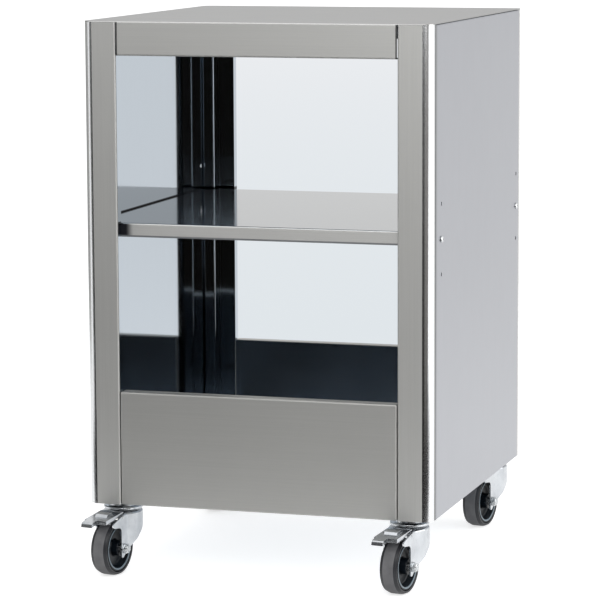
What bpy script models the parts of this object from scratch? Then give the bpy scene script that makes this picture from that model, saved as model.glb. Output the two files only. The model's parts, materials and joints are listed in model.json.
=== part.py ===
# Open stainless-steel support cabinet with one shelf, rolling on four swivel casters.
# Metres, +Z up, floor at z = 0, the open front faces -Y.
# Every piece of folded sheet is drawn as its real folded profile, then cut and bored.

import math

import bmesh
import bpy
from mathutils import Matrix, Vector

# Cabinet body
WIDTH = 0.516
DEPTH = 0.546
HEIGHT = 0.700
SHEET = 0.0012
BEND = 0.0025            # outer radius of an ordinary fold
FIT = 0.0003             # gap between faces that rest on each other

# Corner posts, one profile used four times
POST_FACE = 0.050
POST_LIP = 0.015
POST_RADIUS = 0.014
POST_SIDE = 0.016        # where the flush side panel takes over
SEAM = 0.003             # open width of the seam beside a post
POST_BOX_WIDTH = 0.0205  # closed box folded inside the corner
POST_BOX_DEPTH = 0.028

# Top, sides, aprons and base
RAIL_HEIGHT = 0.049
RAIL_RETURN = 0.014
SIDE_RETURN = 0.012
APRON_HEIGHT = 0.166
APRON_RETURN = 0.020
FACE_SEAM = 0.0008       # between a post and the rail or apron beside it
BASE_WALL = 0.025
STIFFENER_SHEET = 0.0025
STIFFENER_WIDTH = 0.036
STIFFENER_WALL = 0.020
STIFFENER_END = 0.004    # from the base wall to the end of a stiffener

# Shelf and its screws
SHELF_DROP = 0.290       # top of the shelf below the top of the cabinet
SHELF_WALL = 0.020
SCREW_DROP = 0.0135      # screw centre below the shelf's top face
SCREW_RADIUS = 0.0025
SCREW_HEAD_RADIUS = 0.0048
SCREW_HEAD_HEIGHT = 0.0026
SCREW_HEAD_RIM = 0.0011  # straight side of the domed head
SCREW_LENGTH = 0.0095
SCREW_NUT_FLATS = 0.008
SCREW_NUT_HEIGHT = 0.004
HOLE_PITCH = 0.050
HOLE_CLEARANCE = 0.0004  # radial
FRONT_HOLE = 0.052       # hole column behind the front face
REAR_HOLE = 0.036        # hole column ahead of the rear face

# Casters
CASTER_SIDE = 0.041      # swivel axis in from the side face
CASTER_END = 0.0345      # swivel axis in from the front or rear face
REST_HEADING = math.radians(-10)
TRAIL = 0.034
WHEEL_RADIUS = 0.040
TREAD_WIDTH = 0.026
TREAD_CROWN = 0.0028     # drop from the crown to the shoulder
TREAD_FLAT = 0.012       # width of the crown that meets the floor
TYRE_THICKNESS = 0.0060
WHEEL_WEB = 0.006
RIM_ROOT = 0.0075        # rim thickness where it meets the web
RIM_WALL = 0.004         # rim thickness at its outer edge
HUB_RADIUS = 0.0115
HUB_WIDTH = 0.030
SLEEVE_RADIUS = 0.006
AXLE_RADIUS = 0.004
AXLE_FLATS = 0.013
AXLE_HEAD = 0.0053
AXLE_NUT = 0.0065

# Swivel head
HEAD_RADIUS = 0.0285
HEAD_RIM = 0.004
NECK_RADIUS = 0.022
NECK_HEIGHT = 0.0057
STUD_RADIUS = 0.005
STUD_NUT_FLATS = 0.017
STUD_NUT_HEIGHT = 0.008
STUD_SPARE = 0.003       # thread left above the nut
KINGPIN_RADIUS = 0.006
RIVET_RADIUS = 0.010
RIVET_HEIGHT = 0.0025
RACE_HEIGHT = 0.0019
RACE_RADIUS = 0.018
RACE_WIDTH = 0.005

# Pressed fork
FORK_SHEET = 0.0025
FORK_HALF_WIDTH = 0.0215
FORK_END_RADIUS = 0.0085
CROWN_CLEARANCE = 0.009  # crown above the top of the tyre
FORK_NOSE_AHEAD = 0.032  # cheeks reach this far ahead of the axle
FORK_NOSE_RISE = 0.0005  # above the top of the tyre
FORK_THROAT_DROP = 0.008  # below the top of the tyre, where the cheek sweeps into the leg
FORK_TOE_DROP = 0.0125   # below the axle, where the slanting rear edge ends
FORK_CURVE = 0.007       # corners of the cheeks
FORK_BACK_RISE = 0.026   # rear edge's line above the tyre, two head radii behind the kingpin
FORK_BROW_SET = 0.006    # the cheeks' top edges meet the crown this far inside the rim
FORK_NECK_LINE = 0.027   # cheeks turn parallel to the wheel ahead of this
FORK_GAP = 0.0010        # between the crown and the pedal that starts ahead of it

# Brake pedal
PEDAL_SHEET = 0.002
PEDAL_HALF_WIDTH = 0.0180
PEDAL_REACH = 0.0934
PEDAL_BODY = 0.080       # reach of the full width, behind the narrow tongue
TONGUE_LEFT = 0.015      # the tongue's edges, left and right of the middle
TONGUE_RIGHT = 0.003
PEDAL_START_GAP = 0.003  # ahead of the head's rim
PEDAL_START_RISE = 0.0135  # tread above the top of the tyre
PEDAL_TIP_RISE = 0.0070
PEDAL_SKIRT = 0.0055
PEDAL_LIP = 0.007
PIVOT_AHEAD = 0.0040     # pivot ahead of the wheel's axle
PIVOT_RISE = 0.0065      # pivot above the top of the tyre
PIVOT_RADIUS = 0.0020
PIVOT_EYE = 0.0042       # metal around the pivot hole
PIVOT_DROP = 0.0072      # lowest metal below the pivot
BRAKE_TRAVEL = math.radians(10)
SHOE_HALF_WIDTH = 0.011
SHOE_CLEARANCE = 0.0005  # left to the tyre when the pedal is down
SHOE_START = math.radians(14)  # around the tyre, forward of its top
SHOE_END = math.radians(30)
PAD_HALF_WIDTH = 0.010
PAD_HEIGHT = 0.0035
PAD_START = 0.047
PAD_END = 0.062

# Finishes: colour, roughness, metallic
SATIN = ((0.56, 0.56, 0.55), 0.33, 1)
BRIGHT = ((0.62, 0.63, 0.64), 0.12, 1)
ZINC = ((0.66, 0.68, 0.70), 0.25, 1)
PLASTIC = ((0.012, 0.015, 0.020), 0.35, 0)
RUBBER = ((0.085, 0.085, 0.090), 0.55, 0)

# Worked out from the sizes above
TYRE_TOP = 2 * WHEEL_RADIUS
CROWN_BOTTOM = TYRE_TOP + CROWN_CLEARANCE
CROWN_TOP = CROWN_BOTTOM + FORK_SHEET
RIM_BOTTOM = CROWN_TOP + RACE_HEIGHT + 2 * FIT
RIM_TOP = RIM_BOTTOM + HEAD_RIM
HEAD_TOP = RIM_TOP + NECK_HEIGHT
BOTTOM = HEAD_TOP + FIT
TOP = BOTTOM + HEIGHT
HALF_WIDTH = WIDTH / 2
HALF_DEPTH = DEPTH / 2
UNDER_TOP = TOP - SHEET - FIT
LAP = SHEET + FIT        # a post's flange steps in behind the side panel
OPENING = WIDTH - 2 * POST_FACE
SHELF_TOP = TOP - SHELF_DROP
SCREW_HEIGHT = SHELF_TOP - SCREW_DROP
SHELF_FRONT = POST_LIP + SHEET
BASE_FRONT = APRON_RETURN + FIT
STIFFENER_BOTTOM = BOTTOM + SHEET + FIT
STIFFENER_TOP = STIFFENER_BOTTOM + STIFFENER_SHEET
PEDAL_START = HEAD_RADIUS + PEDAL_START_GAP
PEDAL_START_HEIGHT = TYRE_TOP + PEDAL_START_RISE
PEDAL_TIP_HEIGHT = TYRE_TOP + PEDAL_TIP_RISE
PIVOT_FORWARD = TRAIL + PIVOT_AHEAD
PIVOT_HEIGHT = TYRE_TOP + PIVOT_RISE
CROWN_FRONT = PEDAL_START - FORK_GAP
FORK_NOSE = TRAIL + FORK_NOSE_AHEAD
FORK_NOSE_HEIGHT = TYRE_TOP + FORK_NOSE_RISE
FORK_THROAT = TYRE_TOP - FORK_THROAT_DROP
FORK_BACK = TYRE_TOP + FORK_BACK_RISE
FORK_BROW = HEAD_RADIUS - FORK_BROW_SET
FORK_INNER = FORK_HALF_WIDTH - FORK_SHEET
HUB_BORE = SLEEVE_RADIUS + FIT
RIM_RADIUS = WHEEL_RADIUS - TYRE_THICKNESS
PEDAL_FRONT = (PEDAL_REACH + PEDAL_SHEET) * math.cos(REST_HEADING)
PEDAL_CORNER = TONGUE_RIGHT * math.sin(-REST_HEADING)
CABINET_BACK = (PEDAL_FRONT + PEDAL_CORNER - CASTER_END) / 2  # centres the whole footprint


# ---------------------------------------------------------------- outlines

def rounded_line(corners, segments=4):
    # Corners are (x, y, radius); a radius of 0 leaves the point as it is.
    line = []
    for index, (x, y, radius) in enumerate(corners):
        here = Vector((x, y))
        if radius == 0:
            line.append(here)
            continue
        back = (Vector(corners[index - 1][:2]) - here).normalized()
        ahead = (Vector(corners[(index + 1) % len(corners)][:2]) - here).normalized()
        half = back.angle(ahead) / 2
        centre = here + (back + ahead).normalized() * radius / math.sin(half)
        reach = radius / math.tan(half)
        start = (here + back * reach - centre).normalized()
        end = (here + ahead * reach - centre).normalized()
        for step in range(segments + 1):
            line.append(centre + start.slerp(end, step / segments) * radius)
    return [p for i, p in enumerate(line) if i == 0 or (p - line[i - 1]).length > 1e-6]


def offset_line(line, distance):
    # The line moved sideways, to the right of its direction for a positive distance.
    moved = []
    for index, point in enumerate(line):
        normals = []
        for a, b in ((index - 1, index), (index, index + 1)):
            if a >= 0 and b < len(line):
                along = (line[b] - line[a]).normalized()
                normals.append(Vector((along.y, -along.x)))
        middle = sum(normals, Vector((0, 0))).normalized()
        moved.append(point + middle * distance / middle.dot(normals[0]))
    return moved


def folded(corners, thickness, segments=4):
    # Closed outline of a folded sheet whose outer face follows the corners.
    outer = rounded_line(corners, segments)
    return outer + offset_line(outer, thickness)[::-1]


def circle(radius, x=0.0, y=0.0, sides=16):
    turns = [2 * math.pi * (i + 0.5) / sides for i in range(sides)]
    return [Vector((x + radius * math.cos(a), y + radius * math.sin(a))) for a in turns]


def hexagon(flats):
    return circle(flats / math.sqrt(3), sides=6)


def ring_arc(radius, x, y, start, end, segments=8):
    angles = [start + (end - start) * i / segments for i in range(segments + 1)]
    return [(x + radius * math.cos(a), y + radius * math.sin(a)) for a in angles]


# ------------------------------------------------------------------ solids

AXES = {
    "X": lambda u, v, w: (w, u, v),
    "Y": lambda u, v, w: (u, w, v),
    "Z": lambda u, v, w: (u, v, w),
}


def close_up(shape):
    bmesh.ops.remove_doubles(shape, verts=shape.verts, dist=1e-6)
    bmesh.ops.recalc_face_normals(shape, faces=shape.faces)


def add_prism(shape, outline, start, end, axis="Z"):
    place = AXES[axis]
    near = [shape.verts.new(place(p[0], p[1], start)) for p in outline]
    cap = shape.faces.new(near)
    region = [cap, *cap.edges, *cap.verts]
    grown = bmesh.ops.extrude_face_region(shape, geom=region, use_keep_orig=True)["geom"]
    moved = [item for item in grown if isinstance(item, bmesh.types.BMVert)]
    bmesh.ops.translate(shape, verts=moved, vec=Vector(place(0, 0, end - start)))


def add_box(shape, low, high):
    size = Vector(high) - Vector(low)
    middle = (Vector(high) + Vector(low)) / 2
    placing = Matrix.Translation(middle) @ Matrix.Diagonal((*size, 1))
    bmesh.ops.create_cube(shape, size=1, matrix=placing)


def add_revolved(shape, profile, axis="Z", centre=(0, 0, 0), steps=32):
    # Profile points are (radius, distance along the axis), from one end to the other.
    along = {"X": Vector((1, 0, 0)), "Z": Vector((0, 0, 1))}[axis]
    across = {"X": Vector((0, 0, 1)), "Z": Vector((1, 0, 0))}[axis]
    points = [shape.verts.new(Vector(centre) + across * r + along * d) for r, d in profile]
    edges = [shape.edges.new(pair) for pair in zip(points, points[1:])]
    if profile[0][0] > 0:
        edges.append(shape.edges.new((points[-1], points[0])))
    bmesh.ops.spin(
        shape, geom=points + edges, cent=centre, axis=along, angle=2 * math.pi, steps=steps, use_merge=True
    )
    loose = [edge for edge in shape.edges if not edge.link_faces]
    bmesh.ops.delete(shape, geom=loose, context="EDGES")


def surface(name, color, roughness, metallic):
    material = bpy.data.materials.new(name)
    material.use_nodes = True
    shader = material.node_tree.nodes["Principled BSDF"]
    shader.inputs["Base Color"].default_value = (*color, 1)
    shader.inputs["Roughness"].default_value = roughness
    shader.inputs["Metallic"].default_value = metallic
    return material


def piece(name, shape, finish=None, parent=None, location=(0, 0, 0), rotation=(0, 0, 0)):
    close_up(shape)
    mesh = bpy.data.meshes.new(name)
    shape.to_mesh(mesh)
    shape.free()
    made = bpy.data.objects.new(name, mesh)
    bpy.context.collection.objects.link(made)
    made.parent = parent
    made.location = location
    made.rotation_euler = rotation
    if finish:
        mesh.materials.append(surface(name, *finish))
    return made


def carve(target, cutting, operation="DIFFERENCE"):
    # Cuts the target with a shape drawn in the target's own coordinates.
    cutter = piece("cutter", cutting)
    bpy.context.view_layer.update()
    cutter.matrix_world = target.matrix_world
    boolean = target.modifiers.new("Carve", "BOOLEAN")
    boolean.object = cutter
    boolean.operation = operation
    boolean.solver = "EXACT"
    bpy.context.view_layer.update()
    depsgraph = bpy.context.evaluated_depsgraph_get()
    target.data = bpy.data.meshes.new_from_object(target.evaluated_get(depsgraph))
    target.modifiers.clear()
    bpy.data.objects.remove(cutter)


def shade_round(target, angle=35):
    for polygon in target.data.polygons:
        polygon.use_smooth = True
    target.data.set_sharp_from_angle(angle=math.radians(angle))
    return target


def pan(name, width, depth, wall, finish, location, rotation=(0, 0, 0)):
    # A tray folded from one sheet: its flat face looks along +Z, its walls run down.
    shape = bmesh.new()
    add_box(shape, (-width / 2, -depth / 2, -wall), (width / 2, depth / 2, 0))
    open_side = [face for face in shape.faces if face.calc_center_median().z < -wall * 0.9]
    bmesh.ops.delete(shape, geom=open_side, context="FACES_ONLY")
    folds = [edge for edge in shape.edges if not edge.is_boundary]
    bmesh.ops.bevel(shape, geom=folds, offset=BEND, segments=2, profile=0.5, affect="EDGES")
    made = piece(name, shape, finish, location=location, rotation=rotation)
    thicken = made.modifiers.new("Sheet", "SOLIDIFY")
    thicken.thickness = SHEET
    thicken.offset = -1
    thicken.use_even_offset = True
    depsgraph = bpy.context.evaluated_depsgraph_get()
    made.data = bpy.data.meshes.new_from_object(made.evaluated_get(depsgraph))
    made.modifiers.clear()
    return shade_round(made)


# ----------------------------------------------------------------- cabinet

def corner_post(name, side, end):
    # side -1 is left and +1 right, end -1 is front and +1 rear.
    corners = [
        (POST_FACE, POST_LIP, 0),
        (POST_FACE, 0, BEND),
        (0, 0, POST_RADIUS),
        (0, POST_SIDE, SHEET),
        (LAP, POST_SIDE + SEAM, SHEET),
        (LAP, POST_BOX_DEPTH, BEND),
        (POST_BOX_WIDTH, POST_BOX_DEPTH, BEND),
        (POST_BOX_WIDTH, SHEET + FIT, 0),
    ]
    outline = [Vector((-side * p.x, -end * p.y)) for p in folded(corners, SHEET, 3)]
    shape = bmesh.new()
    add_prism(shape, outline, 0, UNDER_TOP - BOTTOM)
    place = (side * HALF_WIDTH, end * HALF_DEPTH, BOTTOM)
    return shade_round(piece(name, shape, SATIN, location=place), 25)


def top_panel():
    corners = [
        (-HALF_DEPTH + RAIL_RETURN, -RAIL_HEIGHT, 0),
        (-HALF_DEPTH, -RAIL_HEIGHT, BEND),
        (-HALF_DEPTH, 0, BEND),
        (HALF_DEPTH, 0, BEND),
        (HALF_DEPTH, -RAIL_HEIGHT, BEND),
        (HALF_DEPTH - RAIL_RETURN, -RAIL_HEIGHT, 0),
    ]
    shape = bmesh.new()
    add_prism(shape, folded(corners, SHEET), -HALF_WIDTH, HALF_WIDTH, "X")
    made = piece("top_panel", shape, SATIN, location=(0, 0, TOP))
    notches = bmesh.new()
    rail_end = OPENING / 2 - FACE_SEAM
    for side in (-1, 1):
        inner, outer = sorted((side * rail_end, side * (HALF_WIDTH + POST_FACE)))
        add_box(notches, (inner, -DEPTH, -2 * RAIL_HEIGHT), (outer, DEPTH, -SHEET))
    carve(made, notches)
    rounding = bmesh.new()
    for side in (-1, 1):
        for end in (-1, 1):
            centre = (side * (HALF_WIDTH - POST_RADIUS), end * (HALF_DEPTH - POST_RADIUS))
            arc = ring_arc(POST_RADIUS, 0, 0, 0, math.pi / 2)
            far = 2 * POST_RADIUS
            spandrel = arc + [(0, far), (far, far), (far, 0)]
            outline = [(centre[0] + side * u, centre[1] + end * v) for u, v in spandrel]
            add_prism(rounding, outline, -RAIL_HEIGHT / 2, RAIL_HEIGHT / 2)
    carve(made, rounding)
    return shade_round(made)


def add_side_bores(shape, radius, reach, rows):
    # Bores along X through both sides, for the shelf screws and the spare holes.
    columns = (-HALF_DEPTH + FRONT_HOLE, HALF_DEPTH - REAR_HOLE)
    for y in columns:
        for row in rows:
            add_prism(shape, circle(radius, y, row, 10), -reach, reach, "X")


def side_panel(name, side):
    corners = [(0, BOTTOM, 0), (0, UNDER_TOP, BEND), (SIDE_RETURN, UNDER_TOP, 0)]
    outline = [(-side * p.x, p.y - BOTTOM) for p in folded(corners, SHEET)]
    run = HALF_DEPTH - POST_SIDE - SEAM - FIT
    shape = bmesh.new()
    add_prism(shape, outline, -run, run, "Y")
    made = piece(name, shape, SATIN, location=(side * HALF_WIDTH, 0, BOTTOM))
    notches = bmesh.new()
    for end in (-1, 1):
        near, far = sorted((end * (HALF_DEPTH - POST_BOX_DEPTH - FIT), end * HALF_DEPTH))
        inner, outer = sorted((-side * (SHEET + FIT / 2), -side * 2 * SIDE_RETURN))
        add_box(notches, (inner, near, -BEND), (outer, far, HEIGHT))
    carve(made, notches)
    bores = bmesh.new()
    rows = [SCREW_HEIGHT - BOTTOM + step * HOLE_PITCH for step in (-1, 0, 1)]
    add_side_bores(bores, SCREW_RADIUS + HOLE_CLEARANCE, 3 * SHEET, rows)
    carve(made, bores)
    return shade_round(made)


def apron(name, end):
    width = OPENING - 2 * FACE_SEAM
    place = (0, end * HALF_DEPTH, BOTTOM + APRON_HEIGHT / 2)
    turn = (-end * math.pi / 2, 0, 0)
    return pan(name, width, APRON_HEIGHT, APRON_RETURN, SATIN, place, turn)


def shelf():
    front = -HALF_DEPTH + SHELF_FRONT
    rear = HALF_DEPTH - POST_BOX_DEPTH - FIT
    middle = (front + rear) / 2
    width = WIDTH - 2 * (SHEET + FIT)
    made = pan("shelf", width, rear - front, SHELF_WALL, BRIGHT, (0, middle, SHELF_TOP))
    notches = bmesh.new()
    post = (HALF_WIDTH - POST_BOX_WIDTH - FIT, -HALF_DEPTH + POST_BOX_DEPTH + FIT - middle)
    for side in (-1, 1):
        inner, outer = sorted((side * post[0], side * WIDTH))
        add_box(notches, (inner, -DEPTH, -2 * SHELF_WALL), (outer, post[1], SHELF_WALL))
    carve(made, notches)
    bores = bmesh.new()
    add_side_bores(bores, SCREW_RADIUS + HOLE_CLEARANCE, WIDTH, [-SCREW_DROP])
    bmesh.ops.translate(bores, verts=bores.verts, vec=(0, -middle, 0))
    carve(made, bores)
    return shade_round(made)


def bored_nut(name, flats, height, bore, place, side):
    # Nut on an axis along X when side is -1 or +1, and along Z when side is 0.
    axis = "X" if side else "Z"
    low, high = sorted((0, -side * height)) if side else (0, height)
    shape = bmesh.new()
    add_prism(shape, hexagon(flats), low, high, axis)
    made = piece(name, shape, ZINC, location=place)
    hole = bmesh.new()
    add_prism(hole, circle(bore, sides=12), low - height, high + height, axis)
    carve(made, hole)
    return shade_round(made)


def shelf_fixings():
    # Where each shelf screw crosses a side: name -> (side, y).
    columns = {"front": -HALF_DEPTH + FRONT_HOLE, "rear": HALF_DEPTH - REAR_HOLE}
    sides = {"left": -1, "right": 1}
    return {e + "_" + s: (sides[s], columns[e]) for e in columns for s in sides}


def shelf_screw(name, side, y):
    profile = [
        (0, -SCREW_LENGTH),
        (SCREW_RADIUS, -SCREW_LENGTH),
        (SCREW_RADIUS, 0),
        (SCREW_HEAD_RADIUS, 0),
        (SCREW_HEAD_RADIUS, SCREW_HEAD_RIM),
        (SCREW_HEAD_RADIUS - SCREW_HEAD_RIM, SCREW_HEAD_HEIGHT - SCREW_HEAD_RIM / 3),
        (0, SCREW_HEAD_HEIGHT),
    ]
    shape = bmesh.new()
    add_revolved(shape, [(r, side * d) for r, d in profile], "X", steps=12)
    place = (side * (HALF_WIDTH + FIT), y, SCREW_HEIGHT)
    return shade_round(piece(name, shape, BRIGHT, location=place))


def shelf_nut(name, side, y):
    place = (side * (HALF_WIDTH - LAP - SHEET - FIT), y, SCREW_HEIGHT)
    return bored_nut(name, SCREW_NUT_FLATS, SCREW_NUT_HEIGHT, SCREW_RADIUS + FIT, place, side)


def base_panel():
    width = WIDTH - 2 * LAP
    depth = DEPTH - 2 * BASE_FRONT
    made = pan("base_panel", width, depth, BASE_WALL, SATIN, (0, 0, BOTTOM), (math.pi, 0, 0))
    notches = bmesh.new()
    post = (HALF_WIDTH - POST_BOX_WIDTH - FIT, HALF_DEPTH - POST_BOX_DEPTH - FIT)
    for side in (-1, 1):
        for end in (-1, 1):
            x_low, x_high = sorted((side * post[0], side * WIDTH))
            y_low, y_high = sorted((end * post[1], end * DEPTH))
            add_box(notches, (x_low, y_low, -2 * BASE_WALL), (x_high, y_high, BASE_WALL))
    carve(made, notches)
    bores = bmesh.new()
    for x, y in caster_places().values():
        bore = circle(STUD_RADIUS + HOLE_CLEARANCE, x, -y)
        add_prism(bores, bore, -BASE_WALL / 2, BASE_WALL / 2)
    carve(made, bores)
    return shade_round(made)


def stiffener(name, side):
    half = STIFFENER_WIDTH / 2
    fold = BEND + SHEET
    corners = [(-half, STIFFENER_WALL, 0), (-half, 0, fold), (half, 0, fold), (half, STIFFENER_WALL, 0)]
    run = HALF_DEPTH - BASE_FRONT - STIFFENER_END
    shape = bmesh.new()
    add_prism(shape, folded(corners, -STIFFENER_SHEET), -run, run, "Y")
    x = side * (HALF_WIDTH - CASTER_SIDE)
    made = piece(name, shape, SATIN, location=(x, 0, STIFFENER_BOTTOM))
    bores = bmesh.new()
    for end in (-1, 1):
        y = end * (HALF_DEPTH - CASTER_END)
        bore = circle(STUD_RADIUS + HOLE_CLEARANCE, 0, y)
        add_prism(bores, bore, -STIFFENER_WALL / 2, STIFFENER_WALL / 2)
    carve(made, bores)
    return shade_round(made)


def stud_nut(name, place):
    spot = (*place, STIFFENER_TOP + FIT)
    return bored_nut(name, STUD_NUT_FLATS, STUD_NUT_HEIGHT, STUD_RADIUS + FIT, spot, 0)


# ----------------------------------------------------------------- casters

def caster_places():
    places = {}
    for end, end_name in ((-1, "front"), (1, "rear")):
        for side, side_name in ((-1, "left"), (1, "right")):
            x = side * (HALF_WIDTH - CASTER_SIDE)
            y = end * (HALF_DEPTH - CASTER_END)
            places[end_name + "_" + side_name] = (x, y)
    return places


def swivel_head(name, place):
    stud_top = STIFFENER_TOP + FIT + STUD_NUT_HEIGHT + STUD_SPARE
    rivet_top = CROWN_BOTTOM - FIT
    profile = [
        (0, stud_top),
        (STUD_RADIUS, stud_top),
        (STUD_RADIUS, HEAD_TOP),
        (NECK_RADIUS, HEAD_TOP),
        (NECK_RADIUS, RIM_TOP),
        (HEAD_RADIUS - HEAD_RIM / 2, RIM_TOP),
        (HEAD_RADIUS, RIM_TOP - HEAD_RIM / 2),
        (HEAD_RADIUS, RIM_BOTTOM),
        (KINGPIN_RADIUS, RIM_BOTTOM),
        (KINGPIN_RADIUS, rivet_top),
        (RIVET_RADIUS, rivet_top),
        (RIVET_RADIUS - RIVET_HEIGHT, rivet_top - RIVET_HEIGHT),
        (0, rivet_top - RIVET_HEIGHT),
    ]
    shape = bmesh.new()
    add_revolved(shape, profile, steps=18)
    return shade_round(piece(name, shape, ZINC, location=(*place, 0)))


def swivel_bearing(name, parent):
    # Race that carries the fork's crown under the fixed head.
    low, high = CROWN_TOP + FIT, RIM_BOTTOM - FIT
    inner, outer = RACE_RADIUS - RACE_WIDTH / 2, RACE_RADIUS + RACE_WIDTH / 2
    profile = [(inner, low), (outer, low), (outer, high), (inner, high)]
    shape = bmesh.new()
    add_revolved(shape, profile, steps=16)
    return shade_round(piece(name, shape, BRIGHT, parent))


def fork_outline(half_width, radius, nose):
    # Plan of the fork: round behind the kingpin, straight cheeks beside the wheel.
    right = [
        (half_width, -nose, 0),
        (half_width, -FORK_NECK_LINE, TRAIL / 3),
        (radius, -radius / 3, TRAIL / 3),
    ]
    rear = [(radius, radius, radius), (-radius, radius, radius)]
    left = [(-x, y, r) for x, y, r in reversed(right)]
    return rounded_line(right + rear + left, 3)


def fork(name, parent, braked):
    outer = fork_outline(FORK_HALF_WIDTH, HEAD_RADIUS, FORK_NOSE)
    inner = fork_outline(FORK_INNER, HEAD_RADIUS - FORK_SHEET, 2 * FORK_NOSE)
    shape = bmesh.new()
    add_prism(shape, outer, 0, CROWN_TOP)
    made = piece(name, shape, ZINC, parent)
    hollow = bmesh.new()
    add_prism(hollow, inner, -CROWN_TOP, CROWN_BOTTOM)
    carve(made, hollow)
    window = bmesh.new()
    low = (-FORK_INNER, -2 * FORK_NOSE, CROWN_BOTTOM / 2)
    add_box(window, low, (FORK_INNER, -CROWN_FRONT, 2 * CROWN_TOP))
    carve(made, window)
    leg_front = TRAIL + FORK_END_RADIUS
    side_view = [
        (2 * HEAD_RADIUS, 2 * CROWN_TOP, 0),
        (2 * HEAD_RADIUS, FORK_BACK, 0),
        (-leg_front + 2 * BEND, WHEEL_RADIUS - FORK_TOE_DROP, BEND),
        (-leg_front, WHEEL_RADIUS - FORK_TOE_DROP, BEND),
        (-leg_front, FORK_THROAT, FORK_CURVE),
        (-FORK_NOSE + BEND, FORK_THROAT + BEND, BEND),
        (-FORK_NOSE, FORK_NOSE_HEIGHT, BEND),
        (-FORK_BROW, CROWN_TOP + BEND, BEND),
        (-FORK_BROW, 2 * CROWN_TOP, 0),
    ]
    keep = bmesh.new()
    add_prism(keep, rounded_line(side_view, 3), -2 * HEAD_RADIUS, 2 * HEAD_RADIUS, "X")
    carve(made, keep, "INTERSECT")
    bores = bmesh.new()
    reach = 2 * FORK_HALF_WIDTH
    add_prism(bores, circle(AXLE_RADIUS + FIT, -TRAIL, WHEEL_RADIUS, 12), -reach, reach, "X")
    add_prism(bores, circle(KINGPIN_RADIUS + FIT), CROWN_BOTTOM - BEND, CROWN_TOP + BEND)
    if braked:
        add_prism(bores, circle(PIVOT_RADIUS + FIT, -PIVOT_FORWARD, PIVOT_HEIGHT, 12), -reach, reach, "X")
    carve(made, bores)
    return shade_round(made)


def axle(name, parent):
    # Hexagon bolt through both cheeks with its nut run home on the right.
    face = FORK_HALF_WIDTH + FIT
    outline = [(-TRAIL + p.x, WHEEL_RADIUS + p.y) for p in hexagon(AXLE_FLATS)]
    shape = bmesh.new()
    shank = circle(AXLE_RADIUS, -TRAIL, WHEEL_RADIUS, 12)
    add_prism(shape, shank, -face - FIT, face + AXLE_NUT + FIT, "X")
    bolt = piece(name, shape, BRIGHT, parent)
    for start, end in ((-face - AXLE_HEAD, -face), (face, face + AXLE_NUT)):
        hexagonal = bmesh.new()
        add_prism(hexagonal, outline, start, end, "X")
        carve(bolt, hexagonal, "UNION")
    return shade_round(bolt)


def sleeve(name, parent):
    end = FORK_INNER - FIT
    bore = AXLE_RADIUS + FIT
    profile = [(bore, -end), (SLEEVE_RADIUS, -end), (SLEEVE_RADIUS, end), (bore, end)]
    shape = bmesh.new()
    add_revolved(shape, profile, "X", (0, -TRAIL, WHEEL_RADIUS), 12)
    return shade_round(piece(name, shape, BRIGHT, parent))


def wheel_centre(name, parent):
    rim = TREAD_WIDTH / 2 - FIT
    web = WHEEL_WEB / 2
    half = [
        (HUB_BORE, HUB_WIDTH / 2),
        (HUB_RADIUS, HUB_WIDTH / 2),
        (HUB_RADIUS, web + BEND),
        (HUB_RADIUS + BEND, web),
        (RIM_RADIUS - RIM_ROOT, web),
        (RIM_RADIUS - RIM_WALL, rim),
        (RIM_RADIUS, rim),
    ]
    profile = half + [(r, -d) for r, d in reversed(half)]
    shape = bmesh.new()
    add_revolved(shape, profile, "X", steps=20)
    return shade_round(piece(name, shape, PLASTIC, parent))


def tyre(name, parent):
    edge = TREAD_WIDTH / 2
    inner = RIM_RADIUS + FIT
    half = [(inner, edge - BEND), (inner + BEND, edge)]
    for share in (1, 1 / 2, 0):
        drop = TREAD_CROWN * share ** 2
        half.append((WHEEL_RADIUS - drop, TREAD_FLAT / 2 + (edge - TREAD_FLAT / 2) * share))
    profile = half + [(r, -d) for r, d in reversed(half)]
    shape = bmesh.new()
    add_revolved(shape, profile, "X", steps=28)
    return shade_round(piece(name, shape, RUBBER, parent), 50)


def shoe_point(angle):
    # A point of the shoe's face that meets the tyre once the pedal is pressed.
    reach = WHEEL_RADIUS + SHOE_CLEARANCE
    forward = TRAIL + reach * math.sin(angle) - PIVOT_FORWARD
    height = WHEEL_RADIUS + reach * math.cos(angle) - PIVOT_HEIGHT
    turn, lift = math.cos(BRAKE_TRAVEL), math.sin(BRAKE_TRAVEL)
    return PIVOT_FORWARD + forward * turn - height * lift, PIVOT_HEIGHT + height * turn + forward * lift


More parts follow.
